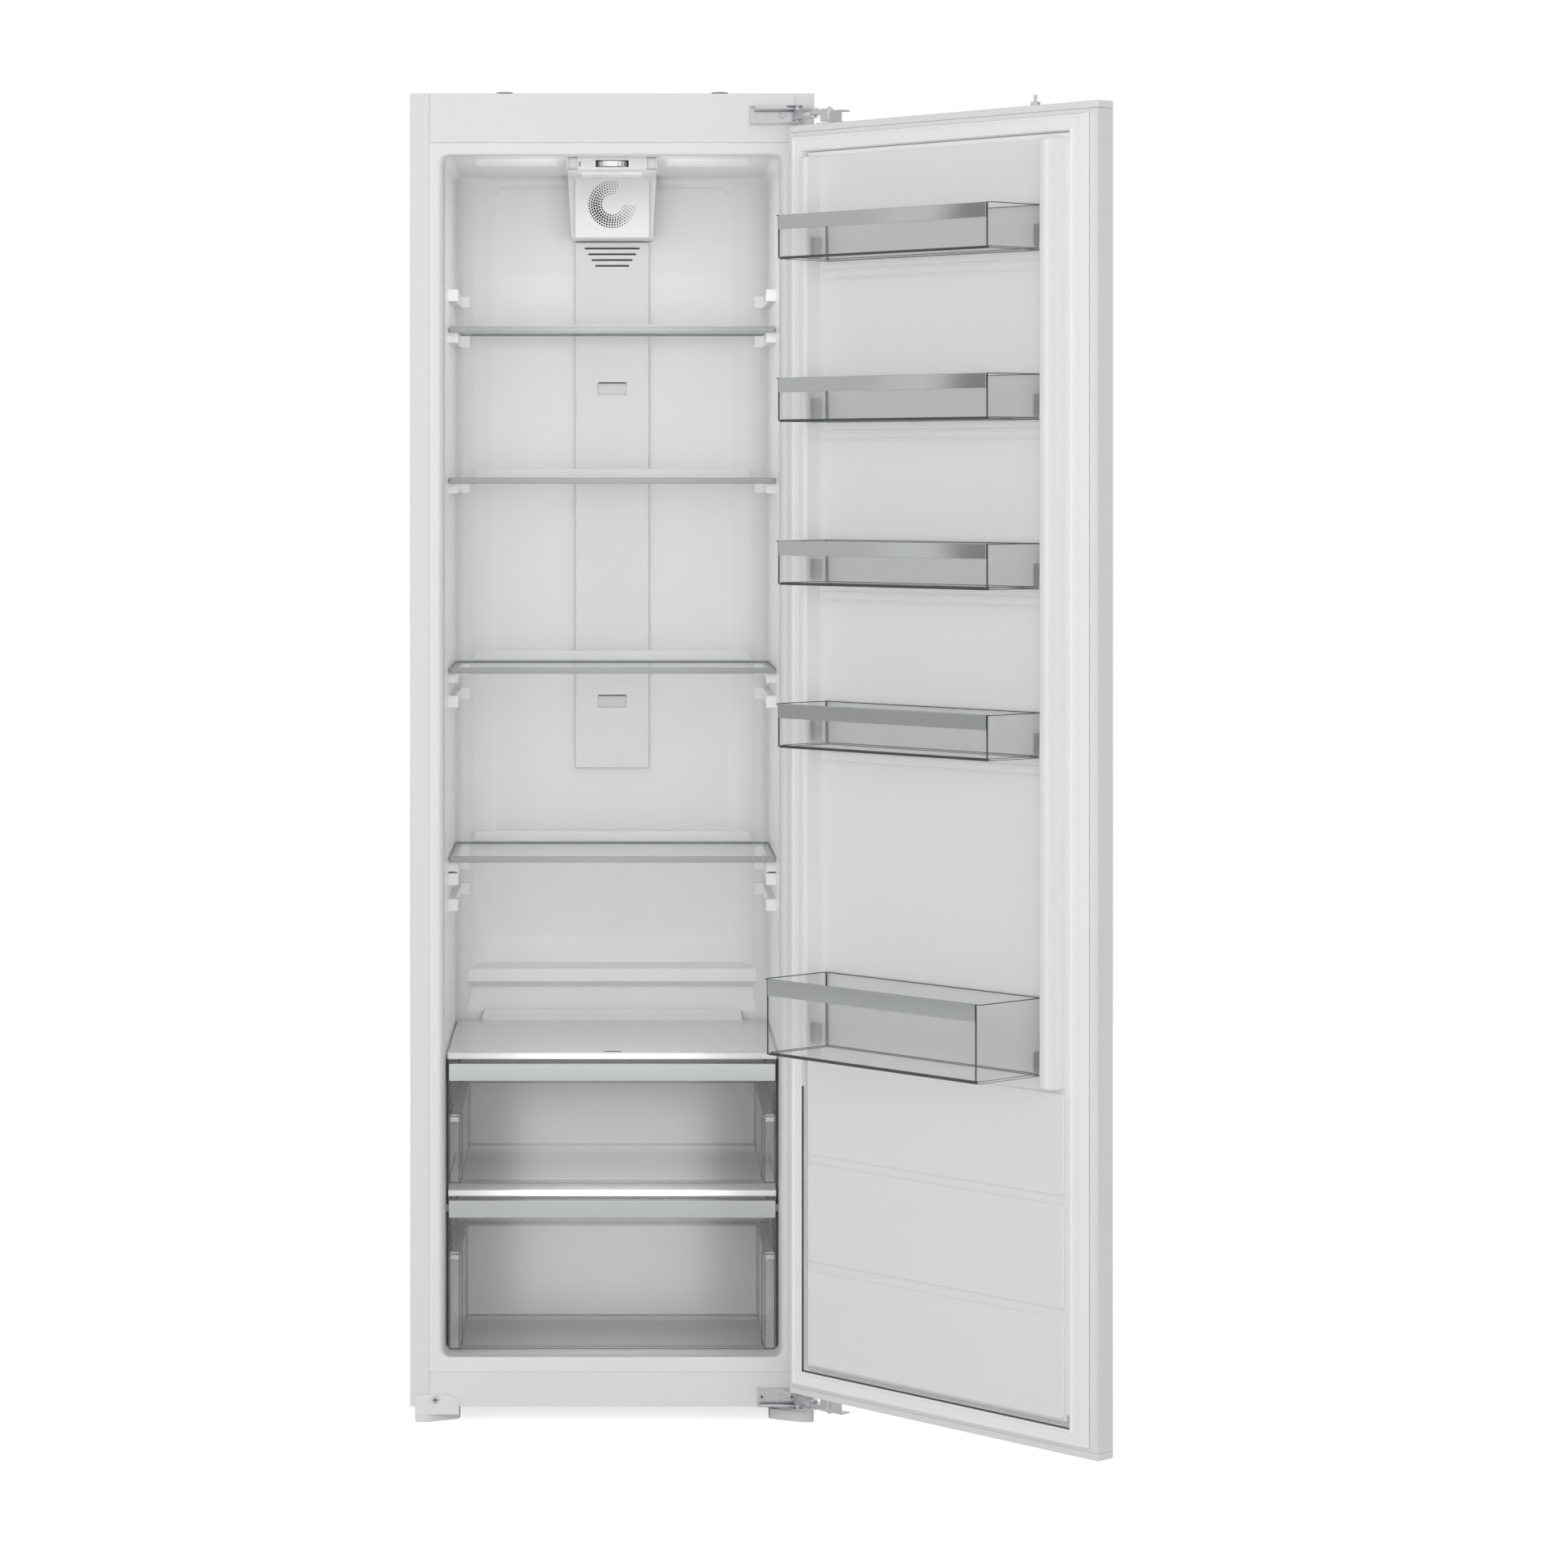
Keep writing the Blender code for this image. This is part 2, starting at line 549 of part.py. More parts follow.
def casing():
    for name, side in (("side_panel_left", -1), ("side_panel_right", 1)):
        outline = [
            (side * HALF_WIDTH, 0),
            (side * HALF_WIDTH, CABINET_DEPTH),
            (side * (HALF_WIDTH - SHEET), CABINET_DEPTH),
            (side * (HALF_WIDTH - SHEET), SHEET),
            (side * (HALF_WIDTH - SIDE_FLANGE), SHEET),
            (side * (HALF_WIDTH - SIDE_FLANGE), 0),
        ]
        piece(name, prism(outline, "Z", 0, CABINET_HEIGHT), "white_steel")
    lid = piece("top_panel", box((-INNER_HALF, FRONT_BACK, CABINET_HEIGHT - SHEET),
                                 (INNER_HALF, CABINET_DEPTH, CABINET_HEIGHT)), "white_steel")
    buffers = bmesh.new()
    for side in (-1, 1):
        add_prism(buffers, circle((side * BUFFER_SPREAD / 2, BUFFER_SETBACK), BUFFER_RADIUS), "Z",
                  CABINET_HEIGHT - SHEET / 2, CABINET_HEIGHT + BUFFER_HEIGHT)
    combine(lid, buffers, "UNION")
    piece("base_plate", box((-INNER_HALF, FRONT_BACK, 0), (INNER_HALF, CABINET_DEPTH, SHEET)),
          "galvanised_steel")
    top, roof = CABINET_HEIGHT - SHEET - GAP, COMPARTMENT_HEIGHT
    bent = [
        (CABINET_DEPTH, top),
        (CABINET_DEPTH - SHEET, top),
        (CABINET_DEPTH - SHEET, roof),
        (COMPARTMENT_FRONT - SHEET, roof),
        (COMPARTMENT_FRONT - SHEET, SHEET + GAP),
        (COMPARTMENT_FRONT, SHEET + GAP),
        (COMPARTMENT_FRONT, roof - SHEET),
        (CABINET_DEPTH, roof - SHEET),
    ]
    piece("back_panel", prism(bent, "X", -INNER_HALF, INNER_HALF), "galvanised_steel")
    piece("front_top_panel", box((-PANEL_HALF, 0, CABINET_HEIGHT - TOP_PANEL_HEIGHT),
                                 (PANEL_HALF, FRONT_PANEL, CABINET_HEIGHT)), "white_plastic")
    piece("front_bottom_panel", box((-PANEL_HALF, 0, 0), (PANEL_HALF, FRONT_PANEL, BOTTOM_PANEL_HEIGHT)),
          "white_plastic")


def support_shapes():
    """The ledges on the side walls that carry the shelves, the crisper's cover and the drawers."""
    shapes = bmesh.new()
    shelf_start = SHELF_FRONT + TRIM_DEPTH + GAP
    under_shelf = -TRIM_TOP_LIP - 2 * GAP - GLASS
    tops = [height + under_shelf for height in support_levels()]
    ledges = [(top - SUPPORT_HEIGHT, top, shelf_start, SUPPORT_REAR) for top in tops]
    ledges.append((UPPER_DRAWER_TOP + GAP, CRISPER_TOP + under_shelf,
                   CRISPER_FRONT + CRISPER_TRIM_DEPTH + GAP, SUPPORT_REAR))
    ledges.append((LOWER_DRAWER_TOP + GAP, DIVIDER_TOP - DIVIDER_PLATE - GAP,
                   CRISPER_FRONT + DIVIDER_TRIM_DEPTH + GAP, STEP_FRONT))
    root = WALL_HALF + LINER_WALL / 2
    for bottom, top, start, rear in ledges:
        for side in (-1, 1):
            block = WALL_HALF - SUPPORT_REACH
            rail = block + SUPPORT_REACH / 4
            plan = [
                (side * root, start),
                (side * block, start),
                (side * block, start + SUPPORT_BLOCK),
                (side * rail, start + SUPPORT_BLOCK),
                (side * rail, rear - SUPPORT_HOOK),
                (side * (WALL_HALF - SUPPORT_HOOK_REACH), rear - SUPPORT_HOOK),
                (side * (WALL_HALF - SUPPORT_HOOK_REACH), rear),
                (side * root, rear),
            ]
            add_prism(shapes, plan, "Z", bottom, top)
    runners = (
        (UPPER_DRAWER_TOP - UPPER_DRAWER_SHOULDER, SUPPORT_REAR),
        (LOWER_DRAWER_TOP - LOWER_DRAWER_SHOULDER, CRISPER_FRONT + LOWER_DRAWER_DEPTH),
    )
    for shoulder, rear in runners:
        for side in (-1, 1):
            reach = DRAWER_WIDTH / 2 - DRAWER_STEP_IN + SUPPORT_RAIL_DROP / 4
            low, high = sorted((side * root, side * reach))
            add_box(shapes, (low, RUNNER_FRONT, shoulder - GAP - RUNNER_HEIGHT),
                    (high, rear, shoulder - GAP))
    return shapes


def inner_liner():
    flange = box((-PANEL_HALF, 0, BOTTOM_PANEL_HEIGHT + GAP),
                 (PANEL_HALF, FRONT_PANEL, CABINET_HEIGHT - TOP_PANEL_HEIGHT - GAP))
    liner = piece("inner_liner", flange, "liner_plastic")
    attach(liner, cabin(LINER_WALL, -OVERRUN), "UNION")
    attach(liner, cabin(0, -2 * OVERRUN), "DIFFERENCE")
    combine(liner, box((-HALF_WIDTH, -2 * OVERRUN, 0), (HALF_WIDTH, 0, CABINET_HEIGHT)), "DIFFERENCE")
    combine(liner, support_shapes(), "UNION")


def insulation():
    foam = piece("insulation_foam", box((-INNER_HALF + GAP, FRONT_BACK, SHEET + GAP),
                                        (INNER_HALF - GAP, CABINET_DEPTH - SHEET - GAP,
                                         CABINET_HEIGHT - SHEET - GAP)), "insulation")
    attach(foam, cabin(LINER_WALL + GAP, -OVERRUN), "DIFFERENCE")
    hollow = box((-HALF_WIDTH, COMPARTMENT_FRONT - SHEET - GAP, -OVERRUN),
                 (HALF_WIDTH, CABINET_DEPTH + OVERRUN, COMPARTMENT_HEIGHT + GAP))
    combine(foam, hollow, "DIFFERENCE")
    front = CABIN_DEPTH + LINER_WALL
    slot = box((-EVAPORATOR_WIDTH / 2 - GAP, front - LAP, EVAPORATOR_BOTTOM - GAP),
               (EVAPORATOR_WIDTH / 2 + GAP, front + EVAPORATOR_THICKNESS + 2 * GAP,
                EVAPORATOR_BOTTOM + EVAPORATOR_HEIGHT + GAP))
    combine(foam, slot, "DIFFERENCE")
    piece("evaporator_plate", box((-EVAPORATOR_WIDTH / 2, front + GAP, EVAPORATOR_BOTTOM),
                                  (EVAPORATOR_WIDTH / 2, front + GAP + EVAPORATOR_THICKNESS,
                                   EVAPORATOR_BOTTOM + EVAPORATOR_HEIGHT)), "aluminium")


def trim_section(front, depth, top, height):
    """A trim that grips the front edge of a glass plate: Y and Z of its outline."""
    slot_top = top - TRIM_TOP_LIP
    slot_bottom = slot_top - GLASS - 2 * GAP
    root = front + depth - TRIM_GRIP
    return [
        (front, top - height),
        (front + depth, top - height),
        (front + depth, slot_bottom),
        (root, slot_bottom),
        (root, slot_top),
        (front + depth, slot_top),
        (front + depth, top),
        (front, top),
    ]


def glass_plate(name, front, rear, width, top, frame=None):
    """A plate. Past the start of the liner's rear facets, its sides run along them."""
    half = width / 2
    past = rear - FACET_START
    plan = [(half, front), (half, min(rear, FACET_START))]
    if past > 0:
        plan.append((half - STEEP_FACET_WIDTH * past / STEEP_FACET_DEPTH, rear))
    piece(name, prism(mirrored(plan), "Z", top - GLASS, top), "shelf_glass", frame)


def shelves():
    for number, share in enumerate(reversed(SHELF_LEVEL_SHARES), start=1):
        top = level(share)
        frame = joint_frame(f"shelf_{number}_slide", Vector((0, SHELF_FRONT, top)))
        glass_top = top - TRIM_TOP_LIP - GAP
        glass_front = SHELF_FRONT + TRIM_DEPTH - TRIM_GRIP + GAP
        glass_plate(f"shelf_{number}_glass", glass_front, SHELF_REAR, SHELF_WIDTH - TRIM_TOP_LIP, glass_top,
                    frame)
        section = trim_section(SHELF_FRONT, TRIM_DEPTH, top, TRIM_HEIGHT)
        piece(f"shelf_{number}_front_trim", prism(section, "X", -SHELF_WIDTH / 2, SHELF_WIDTH / 2),
              "silver_trim", frame)
        base = glass_top - GLASS
        rear = SHELF_REAR + GAP
        angle = [
            (rear, base),
            (rear + REAR_TRIM_DEPTH, base),
            (rear + REAR_TRIM_DEPTH, glass_top + UPSTAND_HEIGHT),
            (rear + REAR_TRIM_DEPTH - UPSTAND_THICKNESS, glass_top + UPSTAND_HEIGHT),
            (rear + REAR_TRIM_DEPTH - UPSTAND_THICKNESS, glass_top),
            (rear, glass_top),
        ]
        piece(f"shelf_{number}_rear_trim", prism(angle, "X", -REAR_TRIM_WIDTH / 2, REAR_TRIM_WIDTH / 2),
              "white_plastic", frame)


def crisper_cover():
    glass_top = CRISPER_TOP - TRIM_TOP_LIP - GAP
    front = CRISPER_FRONT + CRISPER_TRIM_DEPTH - TRIM_GRIP + GAP
    glass_plate("crisper_cover_glass", front, CRISPER_REAR, CRISPER_WIDTH, glass_top)
    section = trim_section(CRISPER_FRONT, CRISPER_TRIM_DEPTH, CRISPER_TOP, CRISPER_TRIM_HEIGHT)
    piece("crisper_cover_trim", prism(section, "X", -SHELF_WIDTH / 2, SHELF_WIDTH / 2), "white_plastic")
    rear = CRISPER_FRONT + UPPER_DRAWER_DEPTH - REAR_TRIM_DEPTH
    section = [
        (CRISPER_FRONT, DIVIDER_TOP - DIVIDER_HEIGHT),
        (CRISPER_FRONT + DIVIDER_TRIM_DEPTH, DIVIDER_TOP - DIVIDER_HEIGHT),
        (CRISPER_FRONT + DIVIDER_TRIM_DEPTH, DIVIDER_TOP - DIVIDER_PLATE),
        (rear, DIVIDER_TOP - DIVIDER_PLATE),
        (rear, DIVIDER_TOP),
        (CRISPER_FRONT, DIVIDER_TOP),
    ]
    piece("drawer_divider", prism(section, "X", -CRISPER_WIDTH / 2, CRISPER_WIDTH / 2), "white_plastic")


def drawer(name, bottom, top, shoulder, depth):
    """A clear tub, wider above its shoulder, with a silver strip along the top of its front."""
    frame = joint_frame(f"{name}_slide", Vector((0, CRISPER_FRONT, top)))
    half, narrow = DRAWER_WIDTH / 2, DRAWER_WIDTH / 2 - DRAWER_STEP_IN
    front, rear = CRISPER_FRONT, CRISPER_FRONT + depth
    ledge = top - shoulder
    tub = piece(f"{name}_tub", box((-half, front, bottom), (half, front + DRAWER_WALL, top)), "smoky_clear",
                frame)
    inside = front + DRAWER_WALL
    combine(tub, box((-half, inside - LAP, ledge), (half, rear, top)), "UNION")
    combine(tub, box((-narrow, inside - LAP, bottom), (narrow, rear - DRAWER_STEP_IN, ledge + LAP)), "UNION")
    combine(tub, box((DRAWER_WALL - half, inside, ledge + DRAWER_WALL),
                     (half - DRAWER_WALL, rear - DRAWER_WALL, top + OVERRUN)), "DIFFERENCE")
    stepped_rear = rear - DRAWER_STEP_IN - DRAWER_WALL
    combine(tub, box((DRAWER_WALL - narrow, inside, bottom + DRAWER_WALL),
                     (narrow - DRAWER_WALL, stepped_rear, top + OVERRUN)), "DIFFERENCE")
    strip_top = top - DRAWER_TRIM_DROP
    piece(f"{name}_trim", box((-half, front - GAP - DRAWER_TRIM, strip_top - DRAWER_TRIM_HEIGHT),
                              (half, front - GAP, strip_top)), "silver_trim", frame)


def drawers():
    drawer("upper_drawer", UPPER_DRAWER_BOTTOM, UPPER_DRAWER_TOP, UPPER_DRAWER_SHOULDER, UPPER_DRAWER_DEPTH)
    drawer("lower_drawer", LOWER_DRAWER_BOTTOM, LOWER_DRAWER_TOP, LOWER_DRAWER_SHOULDER, LOWER_DRAWER_DEPTH)


def air_duct():
    half, rear = DUCT_WIDTH / 2, CABIN_DEPTH - GAP
    duct = piece("air_duct_cover", box((-half, rear - DUCT_THICKNESS, DUCT_BOTTOM), (half, rear, DUCT_TOP)),
                 "white_plastic")
    slots = bmesh.new()
    for i in range(LOUVRE_COUNT):
        reach = LOUVRE_WIDTH / 2 - i * LOUVRE_STEP_IN
        upper = DUCT_TOP - LOUVRE_TOP_DROP - i * LOUVRE_PITCH
        add_box(slots, (-reach, rear - DUCT_THICKNESS - OVERRUN, upper - LOUVRE_HEIGHT),
                (reach, rear - DUCT_THICKNESS / 2, upper))
    combine(duct, slots, "DIFFERENCE")


def fan_unit():
    top = FAN_HOUSING_BOTTOM + FAN_HOUSING_HEIGHT
    side = [(FAN_HOUSING_BOTTOM_WIDTH / 2, FAN_HOUSING_BOTTOM), (FAN_HOUSING_TOP_WIDTH / 2, top)]
    housing = piece("fan_housing", prism(mirrored(side), "Y", FAN_HOUSING_FRONT, CABIN_DEPTH - GAP),
                    "white_plastic")
    corner = box((-HALF_WIDTH, CABIN_DEPTH - CABIN_CORNER - GAP, CABIN_TOP - CABIN_CORNER - GAP),
                 (HALF_WIDTH, CABIN_DEPTH + OVERRUN, CABIN_TOP + OVERRUN))
    combine(housing, corner, "DIFFERENCE")
    reach = FAN_HOUSING_HEIGHT / 2 - FAN_HOUSING_WALL
    back = FAN_HOUSING_FRONT + FAN_CAVITY_DEPTH
    combine(housing, box((-reach, FAN_HOUSING_FRONT - OVERRUN, FAN_CENTRE - reach),
                         (reach, back, FAN_CENTRE + reach)), "DIFFERENCE")
    front = FAN_HOUSING_FRONT - GAP - FAN_COVER_THICKNESS
    low = (-FAN_COVER_WIDTH / 2, FAN_CENTRE - FAN_COVER_HEIGHT / 2)
    high = (FAN_COVER_WIDTH / 2, FAN_CENTRE + FAN_COVER_HEIGHT / 2)
    cover = piece("fan_cover", prism(rounded(low, high, CABIN_CORNER / 2, CORNER_STEPS), "Y", front,
                                     front + FAN_COVER_THICKNESS), "white_plastic")
    bores = bmesh.new()
    for ring in range(1, FAN_GRILLE_RINGS + 1):
        radius = FAN_GRILLE_RADIUS * ring / FAN_GRILLE_RINGS
        count = FAN_GRILLE_BORES * ring // 2
        for x, z in circle((0, FAN_CENTRE), radius, count):
            add_prism(bores, circle((x, z), FAN_GRILLE_BORE, 6), "Y", front - OVERRUN,
                      front + FAN_COVER_THICKNESS + OVERRUN / 2)
    combine(cover, bores, "DIFFERENCE")
    fan_front = FAN_HOUSING_FRONT + FAN_FRONT_CLEARANCE
    fan_back = fan_front + FAN_DEPTH
    frame = joint_frame("fan_spindle", Vector((0, fan_front, FAN_CENTRE)))
    rotor = piece("fan_rotor", prism(circle((0, FAN_CENTRE), FAN_HUB_RADIUS), "Y", fan_front, fan_back),
                  "white_plastic", frame)
    blades = bmesh.new()
    for i in range(FAN_BLADES):
        blade = box((FAN_HUB_RADIUS - LAP, -FAN_DEPTH / 2, -FAN_BLADE_THICKNESS / 2),
                    (FAN_RADIUS, FAN_DEPTH / 2, FAN_BLADE_THICKNESS / 2))
        pitch = Matrix.Rotation(FAN_BLADE_PITCH, 4, "X")
        turn = Matrix.Rotation(math.tau * i / FAN_BLADES, 4, "Y")
        place = Matrix.Translation((0, (fan_front + fan_back) / 2, FAN_CENTRE))
        blade.transform(place @ turn @ pitch)
        loose = bpy.data.meshes.new("blade")
        blade.to_mesh(loose)
        blade.free()
        blades.from_mesh(loose)
        bpy.data.meshes.remove(loose)
    combine(rotor, blades, "UNION")
    bore = prism(circle((0, FAN_CENTRE), FAN_SHAFT_RADIUS + GAP), "Y", fan_back - FAN_SHAFT_DEPTH,
                 fan_back + LAP)
    combine(rotor, bore, "DIFFERENCE")
    motor_front = fan_back + 2 * GAP
    motor = piece("fan_motor", prism(circle((0, FAN_CENTRE), FAN_MOTOR_RADIUS), "Y", motor_front,
                                     back - GAP), "black_enamel")
    shaft = prism(circle((0, FAN_CENTRE), FAN_SHAFT_RADIUS), "Y", fan_back - FAN_SHAFT_DEPTH + GAP,
                  motor_front + LAP)
    combine(motor, shaft, "UNION")


def control_unit():
    """The box under the ceiling that holds the lamp and the thermostat's wheel."""
    half, top = CONTROL_WIDTH / 2, CABIN_TOP - GAP
    bottom = top - CONTROL_HEIGHT
    unit = piece("control_housing", box((-half, CONTROL_FRONT, bottom),
                                        (half, CONTROL_FRONT + CONTROL_DEPTH, top)), "white_plastic")
    middle = (top + bottom) / 2
    low, high = middle - CONTROL_WINDOW_HEIGHT / 2, middle + CONTROL_WINDOW_HEIGHT / 2
    pocket = box((-CONTROL_WINDOW_WIDTH / 2, CONTROL_FRONT - OVERRUN, low),
                 (CONTROL_WINDOW_WIDTH / 2, CONTROL_FRONT + CONTROL_WINDOW_DEPTH, high))
    combine(unit, pocket, "DIFFERENCE")
    centre = (0, CONTROL_FRONT + DIAL_RADIUS + GAP)
    frame = joint_frame("thermostat_spindle", Vector((*centre, middle)))
    teeth = []
    for i, point in enumerate(circle(centre, DIAL_RADIUS, 2 * DIAL_NOTCHES)):
        inset = DIAL_NOTCH / DIAL_RADIUS if i % 2 else 0.0
        teeth.append(tuple(Vector(point).lerp(Vector(centre), inset)))
    dial = piece("thermostat_dial", prism(teeth, "Z", middle - DIAL_HEIGHT / 2, middle + DIAL_HEIGHT / 2),
                 "white_plastic", frame)
    reach = (CONTROL_WINDOW_HEIGHT - DIAL_HEIGHT) / 2 - GAP
    hub = prism(circle(centre, DIAL_RADIUS / 4), "Z", middle - DIAL_HEIGHT / 2 - reach,
                middle + DIAL_HEIGHT / 2 + reach)
    combine(dial, hub, "UNION")


def compressor():
    """The hermetic compressor on its base, turned from a half outline."""
    x, y = -COMPRESSOR_OFFSET, CABINET_DEPTH - COMPARTMENT_DEPTH / 2
    base = SHEET + GAP
    floor = base + COMPRESSOR_LIFT
    rings = 6
    profile = []
    for i in range(rings + 1):
        angle = -math.pi / 2 + math.pi * i / rings
        end = COMPRESSOR_RADIUS / 2
        height = floor + end + end * math.sin(angle)
        if i > rings / 2:
            height += COMPRESSOR_HEIGHT - 2 * end
        profile.append((COMPRESSOR_RADIUS * math.cos(angle), height))
        if i == rings // 2:
            profile.append((COMPRESSOR_RADIUS, height + COMPRESSOR_HEIGHT - 2 * end))
    loops = [[(px, py, z) for px, py in circle((x, y), radius)] for radius, z in profile[1:-1]]
    made = piece("compressor", skin(bmesh.new(), loops), "black_enamel")
    spread = COMPRESSOR_FOOT_SPREAD / 2
    depth = COMPRESSOR_RADIUS - COMPRESSOR_FOOT_RADIUS
    plate_top = floor + COMPRESSOR_RADIUS / 4
    stand = box((x - spread - COMPRESSOR_FOOT_RADIUS, y - depth - COMPRESSOR_FOOT_RADIUS,
                 plate_top - COMPRESSOR_BASE),
                (x + spread + COMPRESSOR_FOOT_RADIUS, y + depth + COMPRESSOR_FOOT_RADIUS, plate_top))
    combine(made, stand, "UNION")
    feet = bmesh.new()
    for side in (-1, 1):
        for along in (-1, 1):
            add_prism(feet, circle((x + side * spread, y + along * depth), COMPRESSOR_FOOT_RADIUS, 10), "Z",
                      base, plate_top - LAP)
    combine(made, feet, "UNION")


def condenser():
    """A serpentine tube on two upright bars that hold it off the back panel."""
    pitch = (CONDENSER_TOP - CONDENSER_BOTTOM) / (CONDENSER_RUNS - 1)
    reach = CONDENSER_WIDTH / 2 - pitch / 2
    y = CABINET_DEPTH + GAP + CONDENSER_STANDOFF
    route = []
    for run in range(CONDENSER_RUNS):
        z = CONDENSER_BOTTOM + run * pitch
        side = 1 if run % 2 == 0 else -1
        route.append((-side * reach, y, z))
        if run == CONDENSER_RUNS - 1:
            route.append((side * reach, y, z))
            continue
        for step in range(BEND_STEPS + 1):
            angle = -math.pi / 2 + math.pi * step / BEND_STEPS
            route.append((side * (reach + pitch / 2 * math.cos(angle)), y,
                          z + pitch / 2 + pitch / 2 * math.sin(angle)))
    loops = []
    for i, point in enumerate(route):
        here = Vector(point)
        before, after = Vector(route[max(i - 1, 0)]), Vector(route[min(i + 1, len(route) - 1)])
        along = (after - before).normalized()
        across = Vector((0, 1, 0))
        up = along.cross(across)
        loops.append([here + a * across + b * up for a, b in circle((0, 0), CONDENSER_TUBE, TUBE_SIDES)])
    coil = piece("condenser_coil", skin(bmesh.new(), loops), "black_enamel")
    bars = bmesh.new()
    for side in (-1, 1):
        x = side * (reach - CONDENSER_BAR_INSET - CONDENSER_BAR / 2)
        add_box(bars, (x - CONDENSER_BAR / 2, CABINET_DEPTH + GAP, CONDENSER_BOTTOM - CONDENSER_BAR),
                (x + CONDENSER_BAR / 2, y, CONDENSER_TOP + CONDENSER_BAR))
    combine(coil, bars, "UNION")


def feet():
    front = -FOOT_PLATE - GAP
    for name, side in (("front_foot_left", -1), ("front_foot_right", 1)):
        outer = side * (HALF_WIDTH - (RIGHT_FOOT_INSET if side > 0 else LEFT_FOOT_INSET))
        plan = [(outer - side * x * FOOT_WIDTH, front + y * FOOT_DEPTH) for x, y in FOOT_SHARES]
        foot = piece(name, prism(plan, "Z", -FOOT_HEIGHT, -FOOT_STEP), "white_plastic")
        narrow = 1 - FOOT_STEP_IN / FOOT_WIDTH if side > 0 else 1
        plan = [(outer + (x - outer) * narrow, y) for x, y in plan]
        combine(foot, prism(plan, "Z", -FOOT_STEP - LAP, -GAP), "UNION")
        if side > 0:
            continue
        # the left foot's plate rises in front of the cabinet and is screwed to it
        far = FOOT_WIDTH - FOOT_PLATE_RISE
        outline = [(0, -FOOT_HEIGHT / 2), (0, FOOT_PLATE_RISE)]
        outline += [(far + x, z) for x, z in circle((0, 0), FOOT_PLATE_RISE, 5, math.pi / 2, -math.pi / 2)]
        outline += [(FOOT_WIDTH, -FOOT_HEIGHT / 2)]
        plate = prism([(outer - side * x, z) for x, z in outline], "Y", front, -GAP)
        combine(foot, plate, "UNION")
    rear = CABINET_DEPTH - REAR_FOOT_INSET
    piece("rear_foot_bar", box((-REAR_FOOT_WIDTH / 2, rear - REAR_FOOT_DEPTH, -FOOT_HEIGHT),
                               (REAR_FOOT_WIDTH / 2, rear, -GAP)), "black_enamel")


def door_leaf(frame):
    half = DOOR_HALF
    shell = [
        (half, DOOR_OUTER),
        (half, DOOR_INNER),
        (half - DOOR_FLANGE, DOOR_INNER),
        (half - DOOR_FLANGE, DOOR_INNER - SHEET),
        (half - SHEET, DOOR_INNER - SHEET),
        (half - SHEET, DOOR_OUTER + SHEET),
    ]
    low, high = DOOR_BOTTOM + DOOR_CAP + GAP, DOOR_TOP - DOOR_CAP - GAP
    piece("door_outer_panel", prism(mirrored(shell), "Z", low, high), "white_steel", frame)
    for name, bottom in (("door_cap_bottom", DOOR_BOTTOM), ("door_cap_top", DOOR_TOP - DOOR_CAP)):
        piece(name, box((-half, DOOR_OUTER, bottom), (half, DOOR_INNER, bottom + DOOR_CAP)), "white_plastic",
              frame)
    inner = half - SHEET - GAP
    foam = piece("door_foam", box((-inner, DOOR_OUTER + SHEET + GAP, low + GAP),
                                  (inner, DOOR_INNER - DOOR_LINER_WALL - GAP, high - GAP)), "insulation",
                 frame)
    edge = half - GASKET_OUTER
    liner = piece("door_liner", box((-edge, DOOR_INNER - DOOR_LINER_WALL, low), (edge, DOOR_INNER, high)),
                  "liner_plastic", frame)
    root = DOOR_INNER - DOOR_LINER_WALL / 2
    pan, foot, top = half - PAN_MARGIN, DOOR_BOTTOM + PAN_MARGIN, DOOR_TOP - PAN_MARGIN
    combine(liner, box((-pan, root, foot), (pan, DOOR_INNER + PAN_RISE, top)), "UNION")
    raised = bmesh.new()
    inner_side = half - DYKE_INNER
    for side in (-1, 1):
        dyke = [
            (side * pan, root),
            (side * (inner_side + DYKE_TOP_WIDTH), DOOR_INNER + DYKE_RISE),
            (side * inner_side, DOOR_INNER + DYKE_RISE),
            (side * inner_side, root),
        ]
        add_prism(raised, dyke, "Z", DYKE_BOTTOM, top - DYKE_TOP_INSET)
    combine(liner, raised, "UNION")
    # the foam reaches into the pan, behind the liner's wall
    for target, slack, operation in ((liner, 0, "DIFFERENCE"), (foam, GAP, "UNION")):
        wall = DOOR_LINER_WALL + slack
        combine(target, box((wall - pan, DOOR_INNER - DOOR_LINER_WALL - GAP - LAP, foot + wall),
                            (pan - wall, DOOR_INNER + PAN_RISE - wall, top - wall)), operation)
    gasket(frame)


def gasket(frame):
    """The magnetic gasket's ring, narrower where it meets the cabinet."""
    ring = bmesh.new()
    loops = []
    near, far = DOOR_INNER + GAP, DOOR_INNER + GASKET_THICKNESS
    for inset, y in ((GASKET_OUTER, near), (GASKET_OUTER + GASKET_FACE_INSET, far),
                     (GASKET_INNER - GASKET_FACE_INSET, far), (GASKET_INNER, near)):
        x, low, high = DOOR_HALF - inset, DOOR_BOTTOM + inset, DOOR_TOP - inset
        loops.append([ring.verts.new(p) for p in ((-x, y, low), (x, y, low), (x, y, high), (-x, y, high))])
    for first, second in zip(loops, loops[1:] + loops[:1]):
        for i in range(4):
            j = (i + 1) % 4
            ring.faces.new((first[i], first[j], second[j], second[i]))
    piece("door_gasket", ring, "gasket_rubber", frame)


